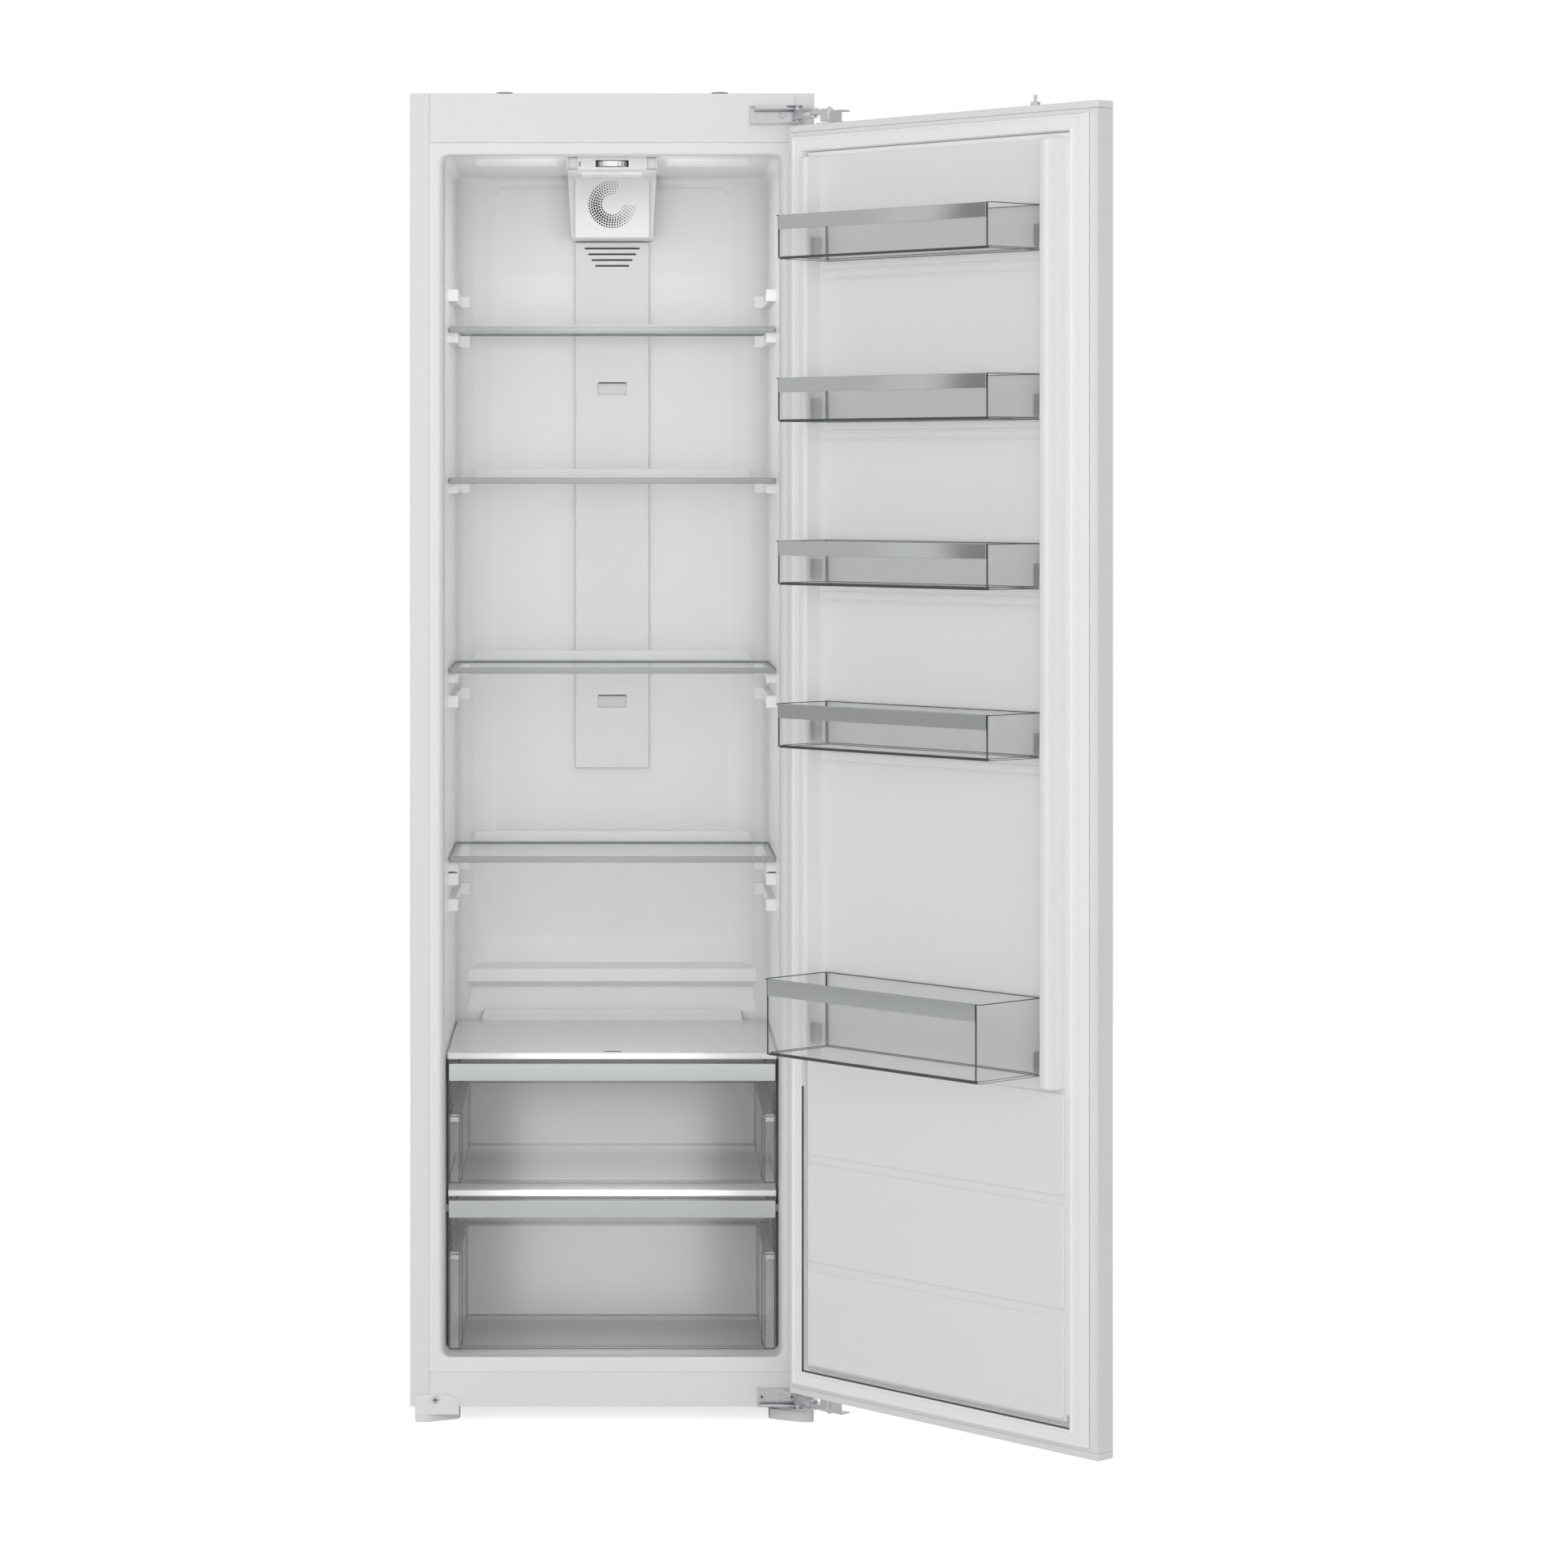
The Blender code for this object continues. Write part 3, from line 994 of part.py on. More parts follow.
def balcony(number, bottom, height, depth, door):
    """A clear tub that hangs between the door liner's dykes by a lug at each end."""
    half = DOOR_HALF - BALCONY_MARGIN
    rear = DOOR_INNER + PAN_RISE + BALCONY_SETBACK
    front = rear + depth
    frame = joint_frame(f"balcony_{number}_lift", Vector((0, rear, bottom)), door)
    outline = rounded((-half, rear), (half, front), BALCONY_CORNER, BALCONY_CORNER_STEPS)
    tub = piece(f"balcony_{number}", prism(outline, "Z", bottom, bottom + height), "smoky_clear", frame)
    inside = grown(outline, -BALCONY_WALL)
    combine(tub, prism(inside, "Z", bottom + BALCONY_WALL, bottom + height + OVERRUN), "DIFFERENCE")
    lugs = bmesh.new()
    for side in (-1, 1):
        reach = DOOR_HALF - DYKE_INNER - BALCONY_PLAY
        low, high = sorted((side * (half - BALCONY_WALL / 2), side * reach))
        start = rear + BALCONY_CORNER + GAP
        add_box(lugs, (low, start, bottom + BALCONY_WALL),
                (high, start + BALCONY_LUG_DEPTH, bottom + BALCONY_WALL + BALCONY_LUG_HEIGHT))
    combine(tub, lugs, "UNION")


def balconies(door):
    for i in range(BALCONY_COUNT):
        balcony(i + 1, BALCONY_HIGHEST - i * BALCONY_PITCH, BALCONY_HEIGHT, BALCONY_DEPTH, door)
    balcony(BALCONY_COUNT + 1, BALCONY_LOWEST, BOTTLE_BALCONY_HEIGHT, BOTTLE_BALCONY_DEPTH, door)


def bar_outline(start, end, width):
    """A flat bar's outline with round ends, from one pin's centre to the other's."""
    along = (end - start).to_2d()
    heading = math.atan2(along.y, along.x)
    outline = circle(end.to_2d(), width / 2, EYE_STEPS + 1, heading - math.pi / 2, math.pi)
    outline += circle(start.to_2d(), width / 2, EYE_STEPS + 1, heading + math.pi / 2, math.pi)
    return outline


def hinge(where, edge, outwards, plate_start, arm_offset, door):
    """One hinge beyond the door's edge: plate on the cabinet, arm, link and bracket on the door."""

    def height(*offsets):
        return sorted(edge + outwards * offset for offset in offsets)

    def pin(centre, radius, sides, low, high):
        return prism(circle(centre.to_2d(), radius, sides), "Z", *height(low, high))

    near, far = HINGE_CLEARANCE, HINGE_CLEARANCE + HINGE_HEIGHT
    start, end = HALF_WIDTH - plate_start, HALF_WIDTH - HINGE_PLATE_END
    low, high = height(near, far)
    plate = piece(f"hinge_plate_{where}", box((start, -GAP - HINGE_SHEET, low), (end, -GAP, high)),
                  "chromed_steel")
    ears = bmesh.new()
    ear = ARM_PIN.x - HINGE_EAR_WIDTH / 2
    tip = ARM_PIN.y - HINGE_EAR_WIDTH / 2
    flange = [
        (start, -GAP),
        (start, -GAP - HINGE_FLANGE_DEPTH),
        (ear - HINGE_EAR_WIDTH, -GAP - HINGE_FLANGE_DEPTH),
        (ear, tip),
        (end, tip),
        (end, -GAP),
    ]
    for offset in (near, far - HINGE_SHEET):
        add_prism(ears, flange, "Z", *height(offset, offset + HINGE_SHEET))
    combine(plate, ears, "UNION")
    combine(plate, pin(ARM_PIN, HINGE_PIN, 12, near + HINGE_SHEET / 2, far - HINGE_SHEET / 2), "UNION")
    keyhole = (HALF_WIDTH - HINGE_KEYHOLE_REACH, (low + high) / 2)
    combine(plate, prism(circle(keyhole, HINGE_KEYHOLE_RADIUS, 12), "Y", -OVERRUN / 2, GAP), "DIFFERENCE")

    frame = joint_frame(f"hinge_arm_{where}_pivot", ARM_PIN)
    arm_near, arm_far = arm_offset, arm_offset + ARM_HEIGHT
    arm = piece(f"hinge_arm_{where}", prism(bar_outline(ARM_PIN, ELBOW, ARM_WIDTH), "Z",
                                            *height(arm_near, arm_far)), "chromed_steel", frame)
    combine(arm, pin(ARM_PIN, HINGE_PIN + HINGE_RUNNING_GAP, 12, arm_near - OVERRUN, arm_far + OVERRUN),
            "DIFFERENCE")
    reach = (ELBOW - ARM_PIN).normalized()
    slot_start, slot_end = ELBOW - reach * ARM_SLOT, ELBOW + reach * ARM_WIDTH
    side = Vector((-reach.y, reach.x, 0)) * ARM_WIDTH
    slot = [(p.x, p.y) for p in (slot_start - side, slot_end - side, slot_end + side, slot_start + side)]
    combine(arm, prism(slot, "Z", *height(arm_near + ARM_EAR, arm_far - ARM_EAR)), "DIFFERENCE")
    combine(arm, pin(ELBOW, ELBOW_PIN, 10, arm_near + ARM_EAR / 2, arm_far - ARM_EAR / 2), "UNION")

    frame = joint_frame(f"hinge_link_{where}_pivot", LINK_PIN, door)
    shut = Matrix.Rotation(-DOOR_OPEN_ANGLE, 3, "Z")
    elbow = PIVOT + shut @ (ELBOW - PIVOT)
    link_near, link_far = arm_near + ARM_EAR + HINGE_RUNNING_GAP, arm_far - ARM_EAR - HINGE_RUNNING_GAP
    link = piece(f"hinge_link_{where}", prism(bar_outline(LINK_PIN, elbow, LINK_WIDTH), "Z",
                                              *height(link_near, link_far)), "chromed_steel", frame)
    block = bar_outline(LINK_PIN, LINK_PIN.lerp(elbow, LINK_BLOCK_SHARE), LINK_WIDTH)
    combine(link, prism(block, "Z", *height(LINK_BLOCK_OFFSET, link_far)), "UNION")
    for centre, radius in ((LINK_PIN, HINGE_PIN + HINGE_RUNNING_GAP), (elbow, ELBOW_PIN + ELBOW_CLEARANCE)):
        combine(link, pin(centre, radius, 12, link_near - OVERRUN, link_far + OVERRUN), "DIFFERENCE")

    right, left = HALF_WIDTH - BRACKET_START, HALF_WIDTH - BRACKET_START - BRACKET_LENGTH
    face = DOOR_INNER - BRACKET_INNER
    back = face - BRACKET_DEPTH
    web = LINK_PIN.x - BRACKET_WEB_OFFSET
    low, high = height(GAP, GAP + BRACKET_SHEET)
    bracket = piece(f"hinge_bracket_{where}", box((left, back, low), (right, face, high)), "chromed_steel",
                    door)
    low, high = height(BRACKET_HEIGHT - BRACKET_SHEET, BRACKET_HEIGHT)
    combine(bracket, box((left, back, low), (web, face, high)), "UNION")
    low, high = height(GAP + BRACKET_SHEET / 2, BRACKET_HEIGHT - BRACKET_SHEET / 2)
    combine(bracket, box((left, face - BRACKET_SHEET, low), (web, face, high)), "UNION")
    combine(bracket, pin(LINK_PIN, HINGE_PIN, 12, GAP + BRACKET_SHEET / 2, link_far + HINGE_PIN), "UNION")


def build():
    for old in list(bpy.data.objects):
        bpy.data.objects.remove(old)
    cabinet = joint_frame("cabinet", Vector())
    cabinet.location = (0, REAR_FOOT_INSET + REAR_FOOT_DEPTH / 2 - CABINET_DEPTH, FOOT_HEIGHT)
    casing()
    inner_liner()
    insulation()
    shelves()
    crisper_cover()
    drawers()
    air_duct()
    fan_unit()
    control_unit()
    compressor()
    condenser()
    feet()
    door = joint_frame("door_pivot", PIVOT, turn=DOOR_OPEN_ANGLE)
    door_leaf(door)
    balconies(door)
    hinge("lower", DOOR_BOTTOM, -1, LOWER_PLATE_START, LOWER_ARM_OFFSET, door)
    hinge("upper", DOOR_TOP, 1, UPPER_PLATE_START, UPPER_ARM_OFFSET, door)


build()
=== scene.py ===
"""Looks of a built-in larder refrigerator, laid out as an add-on.

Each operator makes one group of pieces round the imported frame. Places are in metres: X from the
cabinet's middle, Y from the face of its front panels and Z from its underside, and place() turns them
into the frame's own. The door's pieces are shaped as they lie when the door is shut, and then opened.
"""

import json
import math
from functools import partial

import bmesh
import bpy
from mathutils import Matrix, Vector

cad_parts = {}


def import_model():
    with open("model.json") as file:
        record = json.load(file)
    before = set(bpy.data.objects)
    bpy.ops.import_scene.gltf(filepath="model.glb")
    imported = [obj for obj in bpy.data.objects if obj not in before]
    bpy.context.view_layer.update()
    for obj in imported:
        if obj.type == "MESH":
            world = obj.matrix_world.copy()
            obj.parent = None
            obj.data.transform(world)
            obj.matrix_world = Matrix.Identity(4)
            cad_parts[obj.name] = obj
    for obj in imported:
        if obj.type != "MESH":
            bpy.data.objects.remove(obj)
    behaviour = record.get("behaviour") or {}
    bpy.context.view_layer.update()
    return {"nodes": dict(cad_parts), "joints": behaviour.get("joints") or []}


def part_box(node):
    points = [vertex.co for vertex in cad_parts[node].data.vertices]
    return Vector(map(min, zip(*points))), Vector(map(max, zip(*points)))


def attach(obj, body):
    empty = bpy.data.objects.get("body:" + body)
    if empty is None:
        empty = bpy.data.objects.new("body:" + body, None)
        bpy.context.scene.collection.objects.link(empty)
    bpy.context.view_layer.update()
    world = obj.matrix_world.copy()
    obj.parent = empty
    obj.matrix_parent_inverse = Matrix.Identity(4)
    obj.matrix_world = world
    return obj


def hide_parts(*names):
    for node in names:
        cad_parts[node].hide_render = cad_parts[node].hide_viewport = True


bl_info = {
    "name": "Larder refrigerator looks",
    "version": (1, 0, 0),
    "blender": (4, 5, 0),
    "location": "3D View > Sidebar > Refrigerator",
    "description": "Builds the visible pieces and finishes of a built-in larder refrigerator",
    "category": "Object",
}

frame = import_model()
FLOOR = min(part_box(node)[0].z for node in frame["nodes"])

SHARP = math.radians(20)
SIDE_LOW, SIDE_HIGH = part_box("side_panel_left")
FRONT, UNDERSIDE, HEIGHT = SIDE_LOW.y, SIDE_LOW.z, SIDE_HIGH.z - SIDE_LOW.z
HALF_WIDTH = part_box("side_panel_right")[1].x
DOOR_PAN = FRONT - 0.0040  # the inner face of the shut door's liner, between its dykes

HINGE = next(joint for joint in frame["joints"] if joint["name"] == "door_hinge")
PIVOT = Matrix.Translation((HINGE["pos_m"][0], HINGE["pos_m"][1], 0))
OPEN = PIVOT @ Matrix.Rotation(math.radians(-HINGE["range_deg"][0]), 4, "Z") @ PIVOT.inverted()
SHUT = OPEN.inverted()

SIZES = (
    ("fold_radius", 0.0014, "Fold radius", "Outer radius of the steel sheet's folds"),
    ("plastic_radius", 0.0007, "Moulded edge radius", "Radius on the edges of moulded plastic"),
    ("mouth_radius", 0.0035, "Liner mouth radius", "Radius where the liner turns into the cabin"),
    ("wall_radius", 0.0050, "Liner wall radius", "Radius between the liner's walls"),
    ("glass_radius", 0.0005, "Glass edge radius", "Radius ground on the edges of the glass"),
    ("tub_radius", 0.0014, "Tub edge radius", "Radius on the edges of the clear tubs"),
    ("hinge_radius", 0.0004, "Hinge edge radius", "Radius on the edges of the hinges' sheet"),
    ("foot_radius", 0.0022, "Foot edge radius", "Radius on the edges of the feet"),
    ("screw_radius", 0.0047, "Screw head radius", "Radius of the heads of the visible screws"),
    ("wire_radius", 0.0007, "Condenser wire radius", "Radius of the condenser's upright wires"),
)
COLOURS = (
    ("steel_white", "E6E6E5", "White steel", "Powder coat of the cabinet and the door"),
    ("trim_white", "E9E9E8", "White trim", "Moulded white parts"),
    ("liner_white", "EDEDEC", "Liner", "Vacuum formed liners"),
    ("smoke", "E4E6E6", "Smoked tubs", "Tint of the clear tubs"),
    ("strip_silver", "C5C8C8", "Silver strips", "Metallised strips on drawers and balconies"),
    ("trim_silver", "A6A9A9", "Silver shelf trims", "Satin trims of the shelves"),
    ("glass_tint", "E6F0EC", "Glass", "Tint of the shelves' glass"),
    ("zinc", "D6D7D9", "Zinc plating", "Hinges and screws"),
    ("seal_white", "F8F8F7", "Gasket", "Door gasket"),
)


def srgb(code):
    """Linear red, green, blue and alpha from an sRGB hex value."""
    parts = [int(code[i:i + 2], 16) / 255 for i in (0, 2, 4)]
    return (*[p / 12.92 if p <= 0.04045 else ((p + 0.055) / 1.055) ** 2.4 for p in parts], 1.0)


def size_property(default, name, description):
    return bpy.props.FloatProperty(name=name, description=description, default=default, min=0.0,
                                   subtype="DISTANCE", unit="LENGTH")


def colour_property(default, name, description):
    return bpy.props.FloatVectorProperty(name=name, description=description, default=srgb(default), size=4,
                                         min=0.0, max=1.0, subtype="COLOR")


class FridgeSizes(bpy.types.PropertyGroup):
    """Small radii that the looks add to the frame's solids"""

    __annotations__ = {key: size_property(*rest) for key, *rest in SIZES}


class FridgeColours(bpy.types.PropertyGroup):
    """Colours of the finishes"""

    __annotations__ = {key: colour_property(*rest) for key, *rest in COLOURS}


def place(x, y, z):
    return Vector((x, FRONT + y, UNDERSIDE + z))


def only(thing):
    """Select one object and make it active."""
    bpy.ops.object.select_all(action="DESELECT")
    thing.select_set(True)
    bpy.context.view_layer.objects.active = thing


def settle(thing, matrix=None):
    """Put an object's place, and a further move, into its mesh."""
    only(thing)
    bpy.ops.object.transform_apply(location=True, rotation=True, scale=True)
    if matrix:
        thing.data.transform(matrix)
    return thing


def block(low, high):
    """A box from its lowest to its highest corner."""
    bpy.ops.object.select_all(action="DESELECT")
    bpy.ops.mesh.primitive_cube_add(size=1, location=(Vector(low) + Vector(high)) / 2)
    made = bpy.context.object
    made.scale = [abs(b - a) for a, b in zip(low, high)]
    return settle(made)


def rod(centre, radius, length, axis="Z", sides=24):
    """A cylinder about its centre, along an axis."""
    turn = {"X": (0, math.pi / 2, 0), "Y": (-math.pi / 2, 0, 0), "Z": (0, 0, 0)}[axis]
    bpy.ops.object.select_all(action="DESELECT")
    bpy.ops.mesh.primitive_cone_add(vertices=sides, radius1=radius, radius2=radius, depth=length,
                                    location=centre, rotation=turn)
    return settle(bpy.context.object)


def edit(thing, chosen, mode, *steps):
    """Select edges or faces by a test, and run edit mode steps on them."""
    only(thing)
    bpy.ops.object.mode_set(mode="EDIT")
    bpy.ops.mesh.select_mode(type=mode)
    bpy.ops.mesh.select_all(action="DESELECT")
    mesh = bmesh.from_edit_mesh(thing.data)
    for part in mesh.edges if mode == "EDGE" else mesh.faces:
        if chosen(part):
            part.select_set(True)
    bmesh.update_edit_mesh(thing.data)
    for step, settings in steps:
        step(**settings)
    bpy.ops.object.mode_set(mode="OBJECT")
    return thing


def round_edges(thing, radius, where=None, segments=2, sharp=SHARP, finish=-1):
    """Bevel the sharp edges, or those of them whose two ends pass a test."""

    def chosen(edge):
        if len(edge.link_faces) != 2 or edge.calc_face_angle(0) < sharp:
            return False
        return where is None or where(edge.verts[0].co, edge.verts[1].co)

    bevel = {"offset": radius, "segments": segments, "affect": "EDGES", "clamp_overlap": True,
             "material": finish}
    return edit(thing, chosen, "EDGE", (bpy.ops.mesh.bevel, bevel))


def copied(node, matrix=None):
    """A merged copy of a CAD node, its flat faces made whole again."""
    made = bpy.data.objects.new(node, frame["nodes"][node].data.copy())
    bpy.context.scene.collection.objects.link(made)
    if matrix:
        made.data.transform(matrix)
    only(made)
    bpy.ops.mesh.customdata_custom_splitnormals_clear()
    bpy.ops.object.mode_set(mode="EDIT")
    bpy.ops.mesh.select_all(action="SELECT")
    bpy.ops.mesh.remove_doubles(threshold=0.00002)
    bpy.ops.mesh.dissolve_limited(angle_limit=math.radians(0.6))
    bpy.ops.object.mode_set(mode="OBJECT")
    return made


def cut(thing, tool):
    """Cut a closed shape out of another, and drop it."""
    change = thing.modifiers.new("cut", "BOOLEAN")
    change.operation, change.solver, change.object = "DIFFERENCE", "EXACT", tool
    only(thing)
    bpy.ops.object.modifier_apply(modifier=change.name)
    bpy.data.objects.remove(tool)


def joined(things):
    """Several meshes made one."""
    bpy.ops.object.select_all(action="DESELECT")
    for thing in things:
        thing.select_set(True)
    bpy.context.view_layer.objects.active = things[0]
    if len(things) > 1:
        bpy.ops.object.join()
    return things[0]


def another(thing, matrix):
    """A copy with its own mesh, moved."""
    made = bpy.data.objects.new(thing.name, thing.data.copy())
    bpy.context.scene.collection.objects.link(made)
    made.data.transform(matrix)
    return made


def tube(points, radius, sides=3):
    """A round wire along a line of points."""
    bpy.ops.object.select_all(action="DESELECT")
    bpy.ops.curve.primitive_nurbs_path_add()
    made = bpy.context.object
    made.location = (0, 0, 0)
    curve = made.data
    curve.splines.clear()
    spline = curve.splines.new("POLY")
    spline.points.add(len(points) - 1)
    for point, at in zip(spline.points, points):
        point.co = (*at, 1)
    curve.bevel_depth, curve.bevel_resolution, curve.use_fill_caps = radius, sides, True
    only(made)
    bpy.ops.object.convert(target="MESH")
    return bpy.context.object


def slabs(corners, radius, where=None, segments=2):
    """Boxes with rounded edges, made one."""
    return joined([round_edges(block(*pair), radius, where, segments) for pair in corners])


def span(thing):
    """The lowest and the highest corner of a mesh."""
    return [Vector([pick(v.co[i] for v in thing.data.vertices) for i in range(3)]) for pick in (min, max)]


# Tests that pick edges by their two ends


def before(y):
    return lambda a, b: max(a.y, b.y) < y


def behind(y):
    return lambda a, b: min(a.y, b.y) > y


def inward(a, b):
    return abs(a.y - b.y) > 0.001


def upright(a, b):
    return abs(a.z - b.z) > 0.5 * (a - b).length


def coat(thing, *finishes):
    """Give a mesh its materials, the first of them all over."""
    thing.data.materials.clear()
    for finish in finishes:
        thing.data.materials.append(FINISHES[finish][0])
    return thing


def give(thing, name, finish, body="cabinet", matrix=None, smooth=35):
    """Name a piece, finish it and let it ride on its body, in the place of the CAD node of that name."""
    settle(thing, matrix)
    thing.name = f"{name}_visual" if name in frame["nodes"] else name
    if len(thing.data.materials) < 2:
        coat(thing, finish)
    bpy.ops.object.shade_smooth_by_angle(angle=math.radians(smooth))
    weighted = thing.modifiers.new("weighted", "WEIGHTED_NORMAL")
    weighted.keep_sharp = True
    bpy.ops.object.modifier_apply(modifier=weighted.name)
    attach(thing, body)
    if name in frame["nodes"]:
        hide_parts(name)
    return thing


def renewed(node, finish, radius, where=None, segments=2, sharp=SHARP, body="cabinet", shut=False,
            smooth=35):
    """Show a CAD node as a copy with rounded edges, shaped with the door shut if it swings with it."""
    thing = round_edges(copied(node, SHUT if shut else None), radius, where, segments, sharp)
    return give(thing, node, finish, body, OPEN if shut else None, smooth)


def paint(finish, *nodes):
    """Give CAD nodes a better material."""
    for node in nodes:
        for holder in frame["nodes"][node].material_slots:
            holder.material = FINISHES[finish][0]


# Materials

FINISHES = {}

# Key, slot and material; grain (width and relief in mm, roughness and its spread, stretch along Z);
# shades (a colour of the panel or an sRGB value, a second one or the first one's share, and the
# patches' width in mm); further inputs of the shader
FINISH_ROWS = (
    # powder coated sheet: even and satin, with a faint orange peel about 1.2 mm wide
    ("steel", "white_steel", "powder_coated_steel", (1.2, 0.006, 0.38, 0.04), ("steel_white", 0.985, 180),
     {"IOR": 1.5, "Coat Weight": 0.15, "Coat Roughness": 0.25}),
    # injection moulded styrene: finely eroded mould, satin
    ("plastic", "white_plastic", "moulded_white_styrene", (0.7, 0.010, 0.42, 0.05),
     ("trim_white", 0.985, 90), {"IOR": 1.55}),
    # the same styrene, dyed light grey, for the control unit under the ceiling
    ("grey_plastic", "white_plastic", "moulded_light_grey_styrene", (0.7, 0.010, 0.42, 0.05),
     ("CDCFCF", "C8CACA", 90), {"IOR": 1.55}),
    # vacuum formed styrene sheet: glossy, a little wavy where it was drawn over the mould
    ("liner", "liner_plastic", "vacuum_formed_styrene", (14, 0.02, 0.34, 0.03), ("liner_white", 0.98, 140),
     {"IOR": 1.55, "Coat Weight": 0.2, "Coat Roughness": 0.12}),
    # rigid polyurethane foam: pale yellow, cells about 1 mm wide
    ("foam", "insulation", "rigid_polyurethane_foam", (1.0, 0.4, 0.88, 0.08), ("E8D9A8", "DCCB96", 25),
     {"IOR": 1.45}),
    # toughened float glass: clear, faintly green, polished
    ("glass", "shelf_glass", "toughened_float_glass", (60, 0.01, 0.02, 0.01), ("glass_tint",),
     {"IOR": 1.52, "Alpha": 0.12}),
    # the crisper's cover: the same glass, etched on its underside, so it hides what lies below
    ("frosted", "shelf_glass", "etched_float_glass", (2, 0.004, 0.20, 0.03), ("F4F6F5",),
     {"IOR": 1.52, "Alpha": 0.84}),
    # its ground edge takes a long path through the glass, so it looks dark green grey
    ("glass_edge", "shelf_glass", "ground_glass_edge", (0.6, 0.01, 0.30, 0.08), ("5E6B69", "7C8886", 20),
     {"IOR": 1.52, "Alpha": 0.85}),
    # clear polystyrene with a light smoke tint, glossy from the mould
    ("clear", "smoky_clear", "smoked_clear_polystyrene", (25, 0.02, 0.05, 0.02), ("smoke",),
     {"IOR": 1.59, "Alpha": 0.10}),
    # at its edges the light leaves sideways, so they look dark
    ("clear_edge", "smoky_clear", "smoked_clear_polystyrene_edge", (3, 0.01, 0.15, 0.04),
     ("33393A", "4A5153", 30), {"IOR": 1.59, "Alpha": 0.95}),
    # polystyrene with a metallised, lacquered face: silver grey with a soft shine
    ("silver", "silver_trim", "metallised_lacquered_strip", (0.8, 0.0001, 0.035, 0.005),
     ("strip_silver", 0.97, 60), {"Metallic": 0.94}),
    # the shelves' trims: the same strip with a satin lacquer, greyer and with a wide, soft shine
    ("satin", "silver_trim", "satin_lacquered_trim", (0.8, 0.0008, 0.24, 0.03), ("trim_silver", 0.96, 80),
     {"Metallic": 0.5}),
    # the fan's cover: styrene with a pearl lacquer, so it looks brighter than the liner round it
    ("pearl", "white_plastic", "pearl_lacquered_styrene", (0.6, 0.001, 0.30, 0.03),
     ("F4F4F4", "EEEEEE", 50), {"Metallic": 0.42}),
    # zinc plated and passivated steel: bright, with fine rolling marks
    ("plated", "chromed_steel", "bright_zinc_plated_steel", (0.5, 0.006, 0.26, 0.08, 4), ("zinc", 0.88, 6),
     {"Metallic": 1.0}),
    # stove enamel on steel: black, half gloss
    ("enamel", "black_enamel", "black_stove_enamel", (1.0, 0.01, 0.36, 0.05), ("17181A", "202123", 40),
     {"IOR": 1.5, "Coat Weight": 0.3, "Coat Roughness": 0.2}),
    # rolled aluminium plate: dull, drawn along its length
    ("aluminium", "aluminium", "rolled_aluminium", (0.6, 0.004, 0.42, 0.06, 0.05), ("D2D4D6",),
     {"Metallic": 1.0}),
    # extruded soft vinyl: matt, slightly darker than the door
    ("seal", "gasket_rubber", "extruded_soft_vinyl", (0.8, 0.012, 0.58, 0.06), ("seal_white", 0.97, 70),
     {"IOR": 1.5}),
    # pad printed ink, nearly black and matt; in the screws' cross recesses it is painted shade
    ("ink_and_shade", "white_plastic", "printed_ink_and_painted_shade", (0.4, 0.004, 0.55, 0.06), ("1C1E1F", "26282A", 3),
     {"IOR": 1.45}),
    # painted shade: dark grey and matt, put down in narrow gaps, slots and under edges where shade falls
    ("painted_shade", "gasket_rubber", "dark_grey_painted_shade", (0.7, 0.03, 0.8, 0.06), ("4C4E4F", "585A5B", 5),
     {"IOR": 1.45}),
    # joint sealant between the front panels: light grey, matt
    ("sealant", "gasket_rubber", "grey_joint_sealant", (0.7, 0.01, 0.7, 0.06), ("9C9D9D", "A8A9A9", 12),
     {"IOR": 1.45}),
    # thermoplastic rubber of the buffers: dark grey, matt
    ("buffer", "white_plastic", "grey_thermoplastic_rubber", (0.5, 0.01, 0.62, 0.06),
     ("6C6E6F", "777979", 8), {"IOR": 1.5}),
    # opal diffuser of the lamp: milky and smooth
    ("opal", "white_plastic", "opal_diffuser", (2, 0.005, 0.35, 0.03), ("F3F4F4", "EEF0F0", 15),
     {"IOR": 1.49, "Transmission Weight": 0.25}),
)


def add_node(tree, kind, settings=None, links=()):
    """Add a node with its settings, and link its inputs to other nodes' outputs."""
    made = tree.nodes.new(kind)
    for key, value in (settings or {}).items():
        if isinstance(key, int) or key in made.inputs:
            made.inputs[key].default_value = value
        else:
            setattr(made, key, value)
    for key, source, output in links:
        tree.links.new(source.outputs[output], made.inputs[key])
    return made


def new_finish(key, slot, name, shader):
    """A material with constants on its shader, and its object coordinates."""
    made = bpy.data.materials.new(name)
    made.use_nodes = True
    tree = made.node_tree
    principled = tree.nodes["Principled BSDF"]
    for socket, value in shader.items():
        principled.inputs[socket].default_value = value
    FINISHES[key] = (made, slot)
    return tree, principled, add_node(tree, "ShaderNodeTexCoord")


def grained(tree, principled, coordinates, grain_mm, relief_mm, roughness, spread, stretch=1):
    """Let a fine grain move the roughness and the surface."""
    add = partial(add_node, tree)
    laid = add("ShaderNodeMapping", {"Scale": (1, 1, stretch)}, [("Vector", coordinates, "Object")])
    grain = add("ShaderNodeTexNoise", {"Scale": 1000 / grain_mm, "Detail": 2.0},
                [("Vector", laid, "Vector")])
    gloss = add("ShaderNodeMapRange", {"From Min": 0.3, "From Max": 0.7, "To Min": roughness - spread,
                                       "To Max": roughness + spread}, [("Value", grain, "Fac")])
    tree.links.new(gloss.outputs["Result"], principled.inputs["Roughness"])
    relief = add("ShaderNodeBump", {"Distance": relief_mm / 1000, "Strength": 1.0},
                 [("Height", grain, "Fac")])
    tree.links.new(relief.outputs["Normal"], principled.inputs["Normal"])


